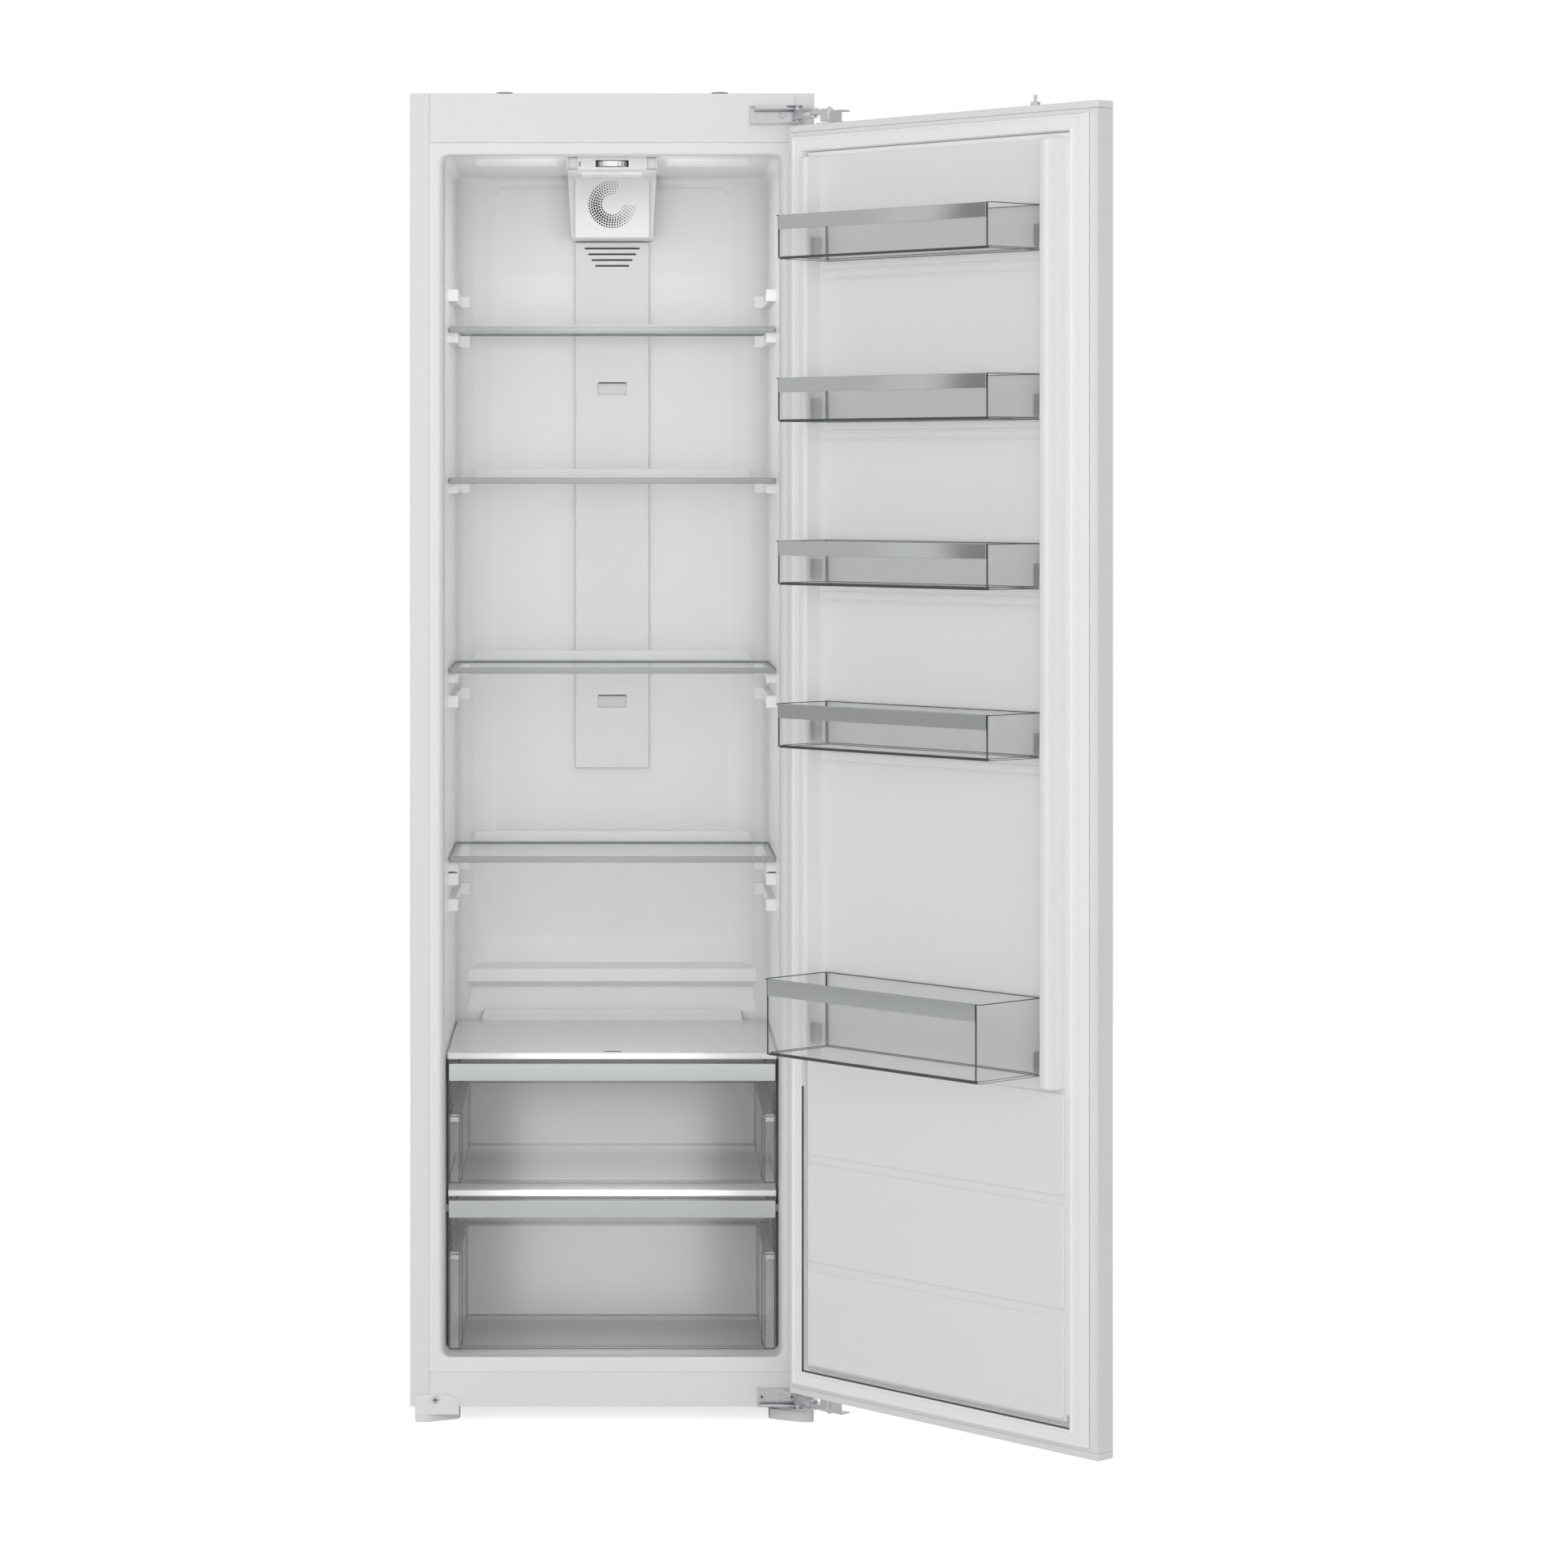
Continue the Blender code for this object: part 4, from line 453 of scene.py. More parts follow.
def mottled(tree, principled, coordinates, colour, other, patch_mm):
    """Let broad, faint patches move the colour between two close shades."""
    patches = add_node(tree, "ShaderNodeTexNoise", {"Scale": 1000 / patch_mm, "Detail": 3.0},
                       [("Vector", coordinates, "Object")])
    shade = add_node(tree, "ShaderNodeMix", {"data_type": "RGBA", 6: colour, 7: other},
                     [(0, patches, "Fac")])
    tree.links.new(shade.outputs[2], principled.inputs["Base Color"])


def make_finishes(colours):
    for key, slot, name, grain, (code, *patches), shader in FINISH_ROWS:
        parts = new_finish(key, slot, name, shader)
        grained(*parts, *grain)
        colour = tuple(getattr(colours, code)) if hasattr(colours, code) else srgb(code)
        if not patches:
            parts[1].inputs["Base Color"].default_value = colour
            continue
        other, patch_mm = patches
        other = srgb(other) if isinstance(other, str) else (*[c * other for c in colour[:3]], 1.0)
        mottled(*parts, colour, other, patch_mm)
    # hot dip zinc: dull, with broad spangles
    tree, principled, coordinates = new_finish("zinc_sheet", "galvanised_steel", "hot_dip_galvanised_steel",
                                               {"Metallic": 1.0})
    spangle_mm = 9
    spangle = add_node(tree, "ShaderNodeTexVoronoi", {"Scale": 1000 / spangle_mm},
                       [("Vector", coordinates, "Object")])
    shade = add_node(tree, "ShaderNodeMapRange", {"To Min": 0.36, "To Max": 0.56},
                     [("Value", spangle, "Color")])
    tree.links.new(shade.outputs["Result"], principled.inputs["Roughness"])
    tint = add_node(tree, "ShaderNodeMix", {"data_type": "RGBA", 6: srgb("B6BABD"), 7: srgb("C6C9CB")},
                    [(0, spangle, "Color")])
    tree.links.new(tint.outputs[2], principled.inputs["Base Color"])


def screw_head(radius, rise=0.6):
    """A round head with a cross recess, its floor a dark cross of painted shade, facing -Y, its seat in Y =
    0.
    """
    tall = radius * rise
    head = rod((0, -tall / 2, 0), radius, tall, "Y")
    round_edges(head, tall * 0.7, before(-tall * 0.8), 4)
    arm, width, deep = radius * 0.55, radius * 0.12, -tall * 0.4
    arms = ((arm, width), (width, arm))
    for x, z in arms:
        cut(head, block((-x, -radius, -z), (x, deep, z)))
    # a nearly black cross on the recess floor: painted shade
    cross = joined([block((-x * 0.98, deep - 0.0001, -z * 0.98), (x * 0.98, deep + 0.0002, z * 0.98))
                    for x, z in arms])
    return joined([coat(head, "plated"), coat(cross, "ink_and_shade")])


# Groups of pieces


def add_lamp(name, at, turn, power, size, tall=None):
    """A square or an upright area lamp that gloss doesn't see."""
    lamp = bpy.data.lights.new(name, "AREA")
    lamp.energy, lamp.size = power, size
    if tall:
        lamp.shape, lamp.size_y = "RECTANGLE", tall
    holder = bpy.data.objects.new(name, lamp)
    holder.location, holder.rotation_euler = at, turn
    holder.visible_glossy = False
    bpy.context.scene.collection.objects.link(holder)


def make_background(scene):
    """White for the camera and glass, a studio's panels for gloss, soft light for the rest."""
    world = bpy.data.worlds.new("studio")
    world.use_nodes = True
    scene.world = world
    tree = world.node_tree
    add = partial(add_node, tree)
    tree.nodes.clear()
    path = add("ShaderNodeLightPath")
    bright = add("ShaderNodeMath", {"operation": "MAXIMUM"},
                 [(0, path, "Is Camera Ray"), (1, path, "Is Transmission Ray")])
    soft = add("ShaderNodeBackground", {"Color": srgb("F4F5F6"), "Strength": 0.42})
    white = add("ShaderNodeBackground", {"Color": (1, 1, 1, 1), "Strength": 1.0})
    # gloss sees a white wall behind the camera and a dim gap between it and the side wall
    way = add("ShaderNodeTexCoord")
    parts = add("ShaderNodeSeparateXYZ", {}, [(0, way, "Generated")])
    aside = add("ShaderNodeMath", {"operation": "ABSOLUTE"}, [(0, parts, "X")])
    slope = add("ShaderNodeMath", {"operation": "DIVIDE"}, [(0, parts, "Y"), (1, aside, "Value")])
    panels = add("ShaderNodeMapRange", {"From Min": -0.25, "From Max": 0.25}, [(0, slope, 0)])
    ramp = add("ShaderNodeValToRGB", {}, [(0, panels, 0)])
    tones = ramp.color_ramp
    tones.elements[0].position, tones.elements[0].color = 0.0, (1, 1, 1, 1)
    tones.elements[1].position, tones.elements[1].color = 1.0, (0.9, 0.9, 0.9, 1)
    for at, tone in ((0.30, 0.80), (0.38, 0.26), (0.556, 0.33), (0.566, 0.84), (0.585, 0.86),
                     (0.60, 0.70), (0.75, 0.74)):
        tones.elements.new(at).color = (tone, tone, tone, 1)
    # the ceiling is white to it and the ground is dim
    raised = add("ShaderNodeMapRange", {"From Min": 0.25, "From Max": 0.7}, [(0, parts, "Z")])
    above = add("ShaderNodeMix", {"data_type": "RGBA", 7: (1, 1, 1, 1)},
                [(0, raised, 0), (6, ramp, "Color")])
    sunk = add("ShaderNodeMapRange", {"From Min": -0.4, "From Max": -0.85}, [(0, parts, "Z")])
    below = add("ShaderNodeMix", {"data_type": "RGBA", 7: (0.16, 0.16, 0.16, 1)},
                [(0, sunk, 0), (6, above, 2)])
    gloss = add("ShaderNodeBackground", {}, [("Color", below, 2)])
    lit = add("ShaderNodeMixShader", {},
              [(0, path, "Is Glossy Ray"), (1, soft, "Background"), (2, gloss, "Background")])
    mixed = add("ShaderNodeMixShader", {},
                [(0, bright, "Value"), (1, lit, "Shader"), (2, white, "Background")])
    add("ShaderNodeOutputWorld", {}, [("Surface", mixed, "Shader")])


def make_floor():
    """A pale floor that keeps the shadow, and is white round it for the camera."""
    bpy.ops.object.select_all(action="DESELECT")
    bpy.ops.mesh.primitive_plane_add(size=60, location=(0, 0, FLOOR - 0.0002))
    floor = bpy.context.object
    floor.name = "floor"
    settle(floor)
    made = bpy.data.materials.new("pale_floor")
    made.use_nodes = True
    tree = made.node_tree
    add = partial(add_node, tree)
    principled = tree.nodes["Principled BSDF"]
    principled.inputs["Roughness"].default_value = 0.9
    principled.inputs["Specular IOR Level"].default_value = 0.1
    coordinates = add("ShaderNodeTexCoord")
    speckle = add("ShaderNodeTexNoise", {"Scale": 400.0}, [("Vector", coordinates, "Object")])
    shade = add("ShaderNodeMix", {"data_type": "RGBA", 6: srgb("F4F4F4"), 7: srgb("F8F8F8")},
                [(0, speckle, "Fac")])
    tree.links.new(shade.outputs[2], principled.inputs["Base Color"])
    path = add("ShaderNodeLightPath")
    for_camera, for_gloss = 0.68, 0.12
    shine = add("ShaderNodeMath", {"operation": "MULTIPLY", 1: for_gloss}, [(0, path, "Is Glossy Ray")])
    lift = add("ShaderNodeMath", {"operation": "MULTIPLY_ADD", 1: for_camera},
               [(0, path, "Is Camera Ray"), (2, shine, "Value")])
    principled.inputs["Emission Color"].default_value = (1, 1, 1, 1)
    tree.links.new(lift.outputs["Value"], principled.inputs["Emission Strength"])
    floor.data.materials.append(made)


class FRIDGE_OT_stage(bpy.types.Operator):
    """Make the camera, the lamps, the pale floor and the white background"""

    bl_idname = "fridge.stage"
    bl_label = "Stage"

    def execute(self, context):
        scene = context.scene
        scene.view_settings.view_transform = "Standard"
        camera = bpy.data.cameras.new("view")
        camera.sensor_width, camera.lens = 36, 100.04
        camera.shift_x, camera.shift_y = 0.1096, -0.1957
        camera.clip_end = 60
        seen = bpy.data.objects.new("view", camera)
        seen.location = place(0, -5.82, 1.2415)
        seen.rotation_euler = (math.pi / 2, 0, 0)
        scene.collection.objects.link(seen)
        scene.camera = seen
        for name, at, size, power in (
            ("front", (-0.3, -5.4, 1.6), 3.0, 57),
            ("left", (-3.2, -3.2, 2.0), 2.6, 34),
            ("right", (2.4, -4.2, 1.8), 2.6, 28),
            ("overhead", (0.1, -1.4, 3.4), 1.6, 5),
            ("rear", (-1.2, 3.8, 2.2), 2.4, 50),
        ):
            aim = place(0.15, 0.1, 0.9) - place(*at)
            add_lamp(name, place(*at), aim.to_track_quat("-Z", "Y").to_euler(), power, size)
        # a reflector card's light, thrown into the cabin from its mouth, where the shut door hides it
        for name, tall, height, power in (("card", 1.38, 0.95, 0.60), ("card_top", 0.20, 1.52, 0.27),
                                          ("card_low", 0.28, 0.265, 0.34)):
            add_lamp(name, place(0, 0.004, height), (math.pi / 2, 0, 0), power, 0.26, tall)
        make_background(scene)
        make_floor()
        return {"FINISHED"}


def joint_strips():
    """Thin grey joints between the side panels, the front panels and the liner's flange."""
    face, back = FRONT + 0.0004, FRONT + 0.0019
    outer = HALF_WIDTH - 0.0256
    strips = [((side * (outer - 0.0004), face, UNDERSIDE + 0.001),
               (side * (outer + 0.0001), back, UNDERSIDE + HEIGHT - 0.001)) for side in (-1, 1)]
    for node, corner, shift in (("front_bottom_panel", 1, 0.00015), ("front_top_panel", 0, -0.00015)):
        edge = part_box(node)[corner].z + shift
        strips.append(((-outer, face, edge - 0.0002), (outer, back, edge + 0.0002)))
    give(slabs(strips, 0.00005, segments=1), "front_joints", "sealant")


class FRIDGE_OT_casing(bpy.types.Operator):
    """Side panels, lid with its buffers, front panels, base and back panel, and the joints"""

    bl_idname = "fridge.casing"
    bl_label = "Casing"

    def execute(self, context):
        sizes = context.scene.fridge_sizes
        sheet = 0.0008
        folds = (
            (sizes.fold_radius, lambda a, b: upright(a, b) and a.y < FRONT + sheet / 2
             and abs(a.x) > HALF_WIDTH - sheet / 2),
            (sizes.fold_radius - sheet, lambda a, b: upright(a, b)
             and FRONT + sheet / 2 < a.y < FRONT + 2 * sheet
             and HALF_WIDTH - 2 * sheet < abs(a.x) < HALF_WIDTH - sheet / 2),
        )
        for node in ("side_panel_left", "side_panel_right"):
            panel = copied(node)
            for radius, edges in folds:
                round_edges(panel, radius, edges, 3)
            give(panel, node, "steel")
        renewed("top_panel", "steel", 0.0003)
        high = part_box("top_panel")[1].z
        for number, x in enumerate((-0.144, 0.144), start=1):
            spot = place(x, 0.018, 0)
            pad = rod((spot.x, spot.y, high - 0.0014), 0.0113, 0.0028, "Z", 32)
            round_edges(pad, 0.0009, lambda a, b: min(a.z, b.z) > high - 0.001, 3)
            give(pad, f"top_buffer_{number}", "buffer")
        for node in ("front_top_panel", "front_bottom_panel"):
            renewed(node, "plastic", sizes.plastic_radius)
        renewed("base_plate", "zinc_sheet", 0.0002)
        renewed("back_panel", "zinc_sheet", 0.0006, lambda a, b: abs(a.x - b.x) > 0.3)
        joint_strips()
        paint("foam", "insulation_foam", "door_foam")
        paint("aluminium", "evaporator_plate")
        return {"FINISHED"}


def liner_beads():
    """Faint moulded lines on the rear wall and along the ceiling."""
    wall, top = 0.4447, 1.6716
    lines = [[place(side * x, wall, z) for x, z in
              ((0.1745, 0.62), (0.1745, top - 0.030), (0.158, top - 0.0155), (0.062, top - 0.0155))]
             for side in (-1, 1)]
    ribs = [tube(line, 0.0009) for line in lines]
    for side in (-1, 1):
        for y in (0.085, 0.120, 0.157, 0.194):
            ribs.append(tube([place(side * 0.075, y, top), place(side * 0.185, y, top)], 0.0008))
    give(joined(ribs), "liner_beads", "liner")


class FRIDGE_OT_liner(bpy.types.Operator):
    """Liner of the cold space with its shelf supports and moulded beads"""

    bl_idname = "fridge.liner"
    bl_label = "Liner"

    def execute(self, context):
        sizes = context.scene.fridge_sizes
        liner = copied("inner_liner")
        low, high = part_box("inner_liner")
        inside = 0.231
        mouth = lambda a, b: (max(a.y, b.y) < FRONT + 0.0005 and max(abs(a.x), abs(b.x)) < inside
                              and min(a.z, b.z) > low.z + 0.01 and max(a.z, b.z) < high.z - 0.01)
        round_edges(liner, sizes.mouth_radius, mouth, 4)
        deep = lambda a, b: upright(a, b) and (a - b).length > 0.3 and a.y > FRONT + 0.2
        round_edges(liner, sizes.wall_radius, deep, 4)
        across = lambda a, b: (abs(a.x - b.x) > 0.3 and min(a.y, b.y) > FRONT + 0.25
                               and max(a.z, b.z) < UNDERSIDE + 0.66)
        round_edges(liner, sizes.wall_radius * 0.6, across, 3, math.radians(8))
        support = lambda a, b: ((a - b).length < 0.32 and max(abs(a.x), abs(b.x)) < 0.2235
                                and FRONT + 0.02 < min(a.y, b.y) and max(a.y, b.y) < FRONT + 0.387)
        round_edges(liner, 0.0022, support, 3, math.radians(40))
        give(liner, "inner_liner", "liner")
        liner_beads()
        return {"FINISHED"}


def air_duct():
    """The duct's cover with its windows, louvres and screw caps, and painted shade in its louvres and under
    its windows' tops.
    """
    low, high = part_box("air_duct_cover")
    duct, windows = copied("air_duct_cover"), (UNDERSIDE + 1.3685, UNDERSIDE + 0.9201)
    for z in windows:
        tool = block((-0.021, low.y - 0.004, z - 0.0092), (0.021, low.y + 0.007, z + 0.0092))
        cut(duct, round_edges(tool, 0.0015, inward, 3))
    seam = UNDERSIDE + 1.5385
    cut(duct, block((low.x - 0.001, low.y - 0.001, seam - 0.0004),
                    (high.x + 0.001, low.y + 0.0005, seam + 0.0004)))
    outer = lambda a, b: (max(a.y, b.y) < low.y + 0.0001 and (a - b).length > 0.09
                          and (abs(abs(a.x) - high.x) < 0.001 or abs(a.z - low.z) < 0.001))
    give(round_edges(duct, 0.0012, outer, 3), "air_duct_cover", "plastic")
    # dark blocks down in the louvre slots: painted shade inside the duct
    louvres = []
    for step in range(4):
        top, reach = high.z - 0.007 - step * 0.0083, 0.0392 - step * 0.005
        louvres.append(((-reach, low.y + 0.0010, top - 0.0027), (reach, low.y + 0.0055, top - 0.0001)))
    give(slabs(louvres, 0.0003), "duct_louvre_painted_shade", "painted_shade")
    # a dark strip under the top of each window's recess: painted shade
    window_top_shades = [((-0.0196, low.y + 0.0012, z + 0.0076), (0.0196, low.y + 0.0060, z + 0.0089))
               for z in windows]
    give(slabs(window_top_shades, 0.0003), "duct_window_painted_shade", "painted_shade")
    for number, z in enumerate((1.2788, 0.8385), start=1):
        cap = rod((0, low.y - 0.0001, UNDERSIDE + z), 0.0068, 0.0016, "Y", 32)
        give(round_edges(cap, 0.0004, before(low.y - 0.0005)), f"duct_screw_cap_{number}", "plastic")


def fan_unit():
    """Housing and cover of the fan."""
    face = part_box("fan_housing")[0].y + 0.0001
    sides = lambda a, b: max(a.y, b.y) < face and max(abs(a.x), abs(b.x)) > 0.0505
    renewed("fan_housing", "plastic", 0.0016, sides, 3)
    low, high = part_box("fan_cover")
    cover = round_edges(block(low, high), 0.0022, inward, 4)
    give(round_edges(cover, 0.0010, before(low.y + 0.0001), 3), "fan_cover", "pearl")
    # a generic ring of printed dots, fading towards the right
    dot = rod((0, low.y - 0.00005, 0), 0.001, 0.0002, "Y", 8)
    middle = Vector((0, 0, (low.z + high.z) / 2 + 0.0026))
    dots = []
    for ring in range(6):
        radius = 0.0155 + ring * 0.0034
        count = round(math.tau * radius / 0.0038)
        for step in range(count):
            angle = math.tau * (step + 0.5 * (ring % 2)) / count
            fade = 0.5 - 0.5 * math.cos(angle - 0.6)
            if fade < 0.10:
                continue
            size = (0.72 + 0.95 * fade) * (0.66 + 0.34 * math.sin(math.pi * (ring + 1) / 7))
            spot = middle + Vector((radius * math.cos(angle), 0, radius * math.sin(angle)))
            dots.append(another(dot, Matrix.Translation(spot) @ Matrix.Diagonal((size, 1, size, 1))))
    bpy.data.objects.remove(dot)
    give(joined(dots), "fan_cover_dots", "ink_and_shade")
    paint("plastic", "fan_rotor")
    paint("enamel", "fan_motor")


def control_unit():
    """Housing, dial and lamp under the ceiling."""
    low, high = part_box("control_housing")
    housing = copied("control_housing")
    for side in (-1, 1):
        cut(housing, block((side * high.x, low.y - 0.001, low.z - 0.001),
                           (side * (high.x - 0.013), low.y + 0.003, high.z + 0.001)))
    cut(housing, block((-high.x + 0.0155, low.y - 0.001, low.z + 0.0045),
                       (-high.x + 0.0175, low.y + 0.004, low.z + 0.0105)))
    give(round_edges(housing, 0.0008, before(low.y + 0.004)), "control_housing", "grey_plastic")
    renewed("thermostat_dial", "plastic", 0.0002, segments=1, body="thermostat")
    lens = ((-0.042, low.y + 0.062, low.z - 0.0012), (0.042, low.y + 0.150, low.z + 0.002))
    give(slabs([lens], 0.0010, segments=3), "lamp_lens", "opal")


class FRIDGE_OT_air(bpy.types.Operator):
    """Cold air duct, fan unit and control unit"""

    bl_idname = "fridge.air"
    bl_label = "Air duct, fan and controls"

    def execute(self, context):
        air_duct()
        fan_unit()
        control_unit()
        return {"FINISHED"}


def glass_pane(node, body, sizes, finish="glass"):
    """Glass whose rim has a finish of its own."""
    pane = renewed(node, finish, sizes.glass_radius, body=body)
    coat(pane, finish, "glass_edge")
    for face in pane.data.polygons:
        if abs(face.normal.z) < 0.5:
            face.material_index = 1


def upstand(thing, name, body):
    """A rear trim whose top corners slant inwards."""
    high = span(thing)[1]
    chosen = lambda face: face.normal.z > 0.9 and face.calc_center_median().z > high.z - 0.001
    slant = {"value": ((high.x - 0.0055) / high.x, 1, 1), "center_override": (0, 0, high.z)}
    edit(thing, chosen, "FACE", (bpy.ops.transform.resize, slant))
    give(round_edges(thing, 0.0006), name, "plastic", body)


class FRIDGE_OT_shelves(bpy.types.Operator):
    """Glass shelves, and the crisper's cover"""

    bl_idname = "fridge.shelves"
    bl_label = "Glass shelves"

    def execute(self, context):
        sizes = context.scene.fridge_sizes
        for number in range(1, 5):
            body = f"shelf_{number}"
            glass_pane(f"{body}_glass", body, sizes)
            node = f"{body}_front_trim"
            renewed(node, "satin", 0.0011, before(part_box(node)[0].y + 0.0005), 3, body=body)
            node = f"{body}_rear_trim"
            upstand(copied(node), node, body)
        glass_pane("crisper_cover_glass", "cabinet", sizes, "frosted")
        low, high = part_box("crisper_cover_trim")
        renewed("crisper_cover_trim", "plastic", 0.0016, before(low.y + 0.0005), 4)
        clip = ((-0.0105, low.y + 0.012, high.z - 0.0002), (0.0125, low.y + 0.017, high.z + 0.0009))
        give(slabs([clip], 0.0004), "crisper_cover_clip", "buffer")
        low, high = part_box("crisper_cover_glass")
        strip = block((-0.188, high.y - 0.0005, low.z - 0.001), (0.188, high.y + 0.0018, high.z + 0.0160))
        upstand(strip, "crisper_cover_upstand", "cabinet")
        renewed("drawer_divider", "plastic", 0.0012, before(FRONT + 0.041), 3)
        return {"FINISHED"}


class FRIDGE_OT_drawers(bpy.types.Operator):
    """Clear drawers with their silver strips"""

    bl_idname = "fridge.drawers"
    bl_label = "Drawers"

    def execute(self, context):
        sizes = context.scene.fridge_sizes
        for name in ("upper_drawer", "lower_drawer"):
            tub = coat(copied(f"{name}_tub"), "clear", "clear_edge")
            give(round_edges(tub, sizes.tub_radius, finish=1), f"{name}_tub", "clear", name)
            low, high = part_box(f"{name}_trim")
            renewed(f"{name}_trim", "silver", 0.0009, before(low.y + 0.0001), 3, body=name)
            lip = ((low.x, high.y + 0.0002, high.z - 0.0002), (high.x, high.y + 0.0048, high.z + 0.0024))
            give(slabs([lip], 0.0006), f"{name}_lip", "clear", name)
        # dark strips of painted shade deep in the narrow gaps between the drawers and the liner's sides
        gaps = [(place(side * 0.2203, 0.0500, low), place(side * 0.2237, 0.0520, high))
                for side in (-1, 1) for low, high in ((0.069, 0.252), (0.262, 0.458))]
        give(slabs(gaps, 0.0004), "drawer_gap_painted_shade", "painted_shade")
        return {"FINISHED"}


def door_liner():
    liner = copied("door_liner", SHUT)
    round_edges(liner, 0.0048, behind(span(liner)[1].y - 0.001), 5)
    outline = lambda a, b: (min(a.y, b.y) > DOOR_PAN - 0.0005 and max(a.y, b.y) < DOOR_PAN + 0.0005
                            and (a - b).length > 0.3)
    round_edges(liner, 0.0030, outline, 3, math.radians(30))
    give(liner, "door_liner", "liner", "door", OPEN)
    # creases that stiffen the liner: pairs of shallow beads under the upper balconies
    beads = []
    for number in range(1, 5):
        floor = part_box(f"balcony_{number}")[0].z
        for drop in (0.0115, 0.0225):
            ends = [Vector((x, DOOR_PAN + 0.0001, floor - drop)) for x in (-0.2015, 0.2015)]
            beads.append(tube(ends, 0.0017))
    give(joined(beads), "door_liner_beads", "liner", "door", OPEN)
    # three shallow cushions below the balconies
    cushions = []
    for low, high in ((0.3543, 0.4810), (0.2147, 0.3436), (0.0790, 0.2033)):
        cushion = block((-0.2255, DOOR_PAN - 0.0005, UNDERSIDE + low),
                        (0.2255, DOOR_PAN + 0.0030, UNDERSIDE + high))
        round_edges(cushion, 0.0055, inward, 4)
        cushions.append(round_edges(cushion, 0.0020, behind(DOOR_PAN + 0.0029), 3))
    give(joined(cushions), "door_liner_cushions", "liner", "door", OPEN)


def door_gasket():
    seal = copied("door_gasket", SHUT)
    low, high = span(seal)
    chosen = lambda face: face.normal.y > 0.9 and face.calc_center_median().y > high.y - 0.001
    groove = ((bpy.ops.mesh.inset, {"thickness": 0.0030, "depth": 0.0}),
              (bpy.ops.mesh.inset, {"thickness": 0.0008, "depth": -0.0012}))
    edit(seal, chosen, "FACE", *groove)
    give(round_edges(seal, 0.0014, None, 3), "door_gasket", "seal", "door", OPEN)
    # a painted shadow: the dark line along the gasket's inner edge, where its flap folds under
    inner, fold = 0.0216, 0.0009
    left, right, bottom = low.x + inner, high.x - inner, low.z + inner
    fold_shadows = (((right - fold, high.y - 0.0036, bottom), (right, high.y - 0.0008, UNDERSIDE + 0.443)),
             ((left, high.y - 0.0056, bottom), (right, high.y - 0.0010, bottom + fold)))
    give(slabs(fold_shadows, 0.0003), "door_gasket_painted_shadow", "painted_shade", "door", OPEN)
    # soft inner lips that bridge the groove beside the liner's pan
    back, face, reach, groove = DOOR_PAN - 0.009, DOOR_PAN - 0.0014, 0.2275, 0.0056
    crest = UNDERSIDE + 1.6612
    lips = (((-reach - groove, back, UNDERSIDE + 0.085), (-reach, face, crest)),
            ((-reach - groove, back, crest), (reach, face, crest + groove)))
    give(slabs(lips, 0.0008), "door_gasket_lip", "seal", "door", OPEN)


class FRIDGE_OT_door(bpy.types.Operator):
    """Door leaf: outer panel, end caps, inner liner with its creases, and gasket"""

    bl_idname = "fridge.door"
    bl_label = "Door"

    def execute(self, context):
        sizes = context.scene.fridge_sizes
        panel = copied("door_outer_panel", SHUT)
        outside = span(panel)[0].y + 0.0002
        folds = lambda a, b: upright(a, b) and (a - b).length > 1 and a.y < outside
        give(round_edges(panel, sizes.fold_radius, folds, 3), "door_outer_panel", "steel", "door", OPEN)
        for node in ("door_cap_top", "door_cap_bottom"):
            renewed(node, "plastic", 0.0012, segments=3, body="door", shut=True)
        door_liner()
        door_gasket()
        return {"FINISHED"}


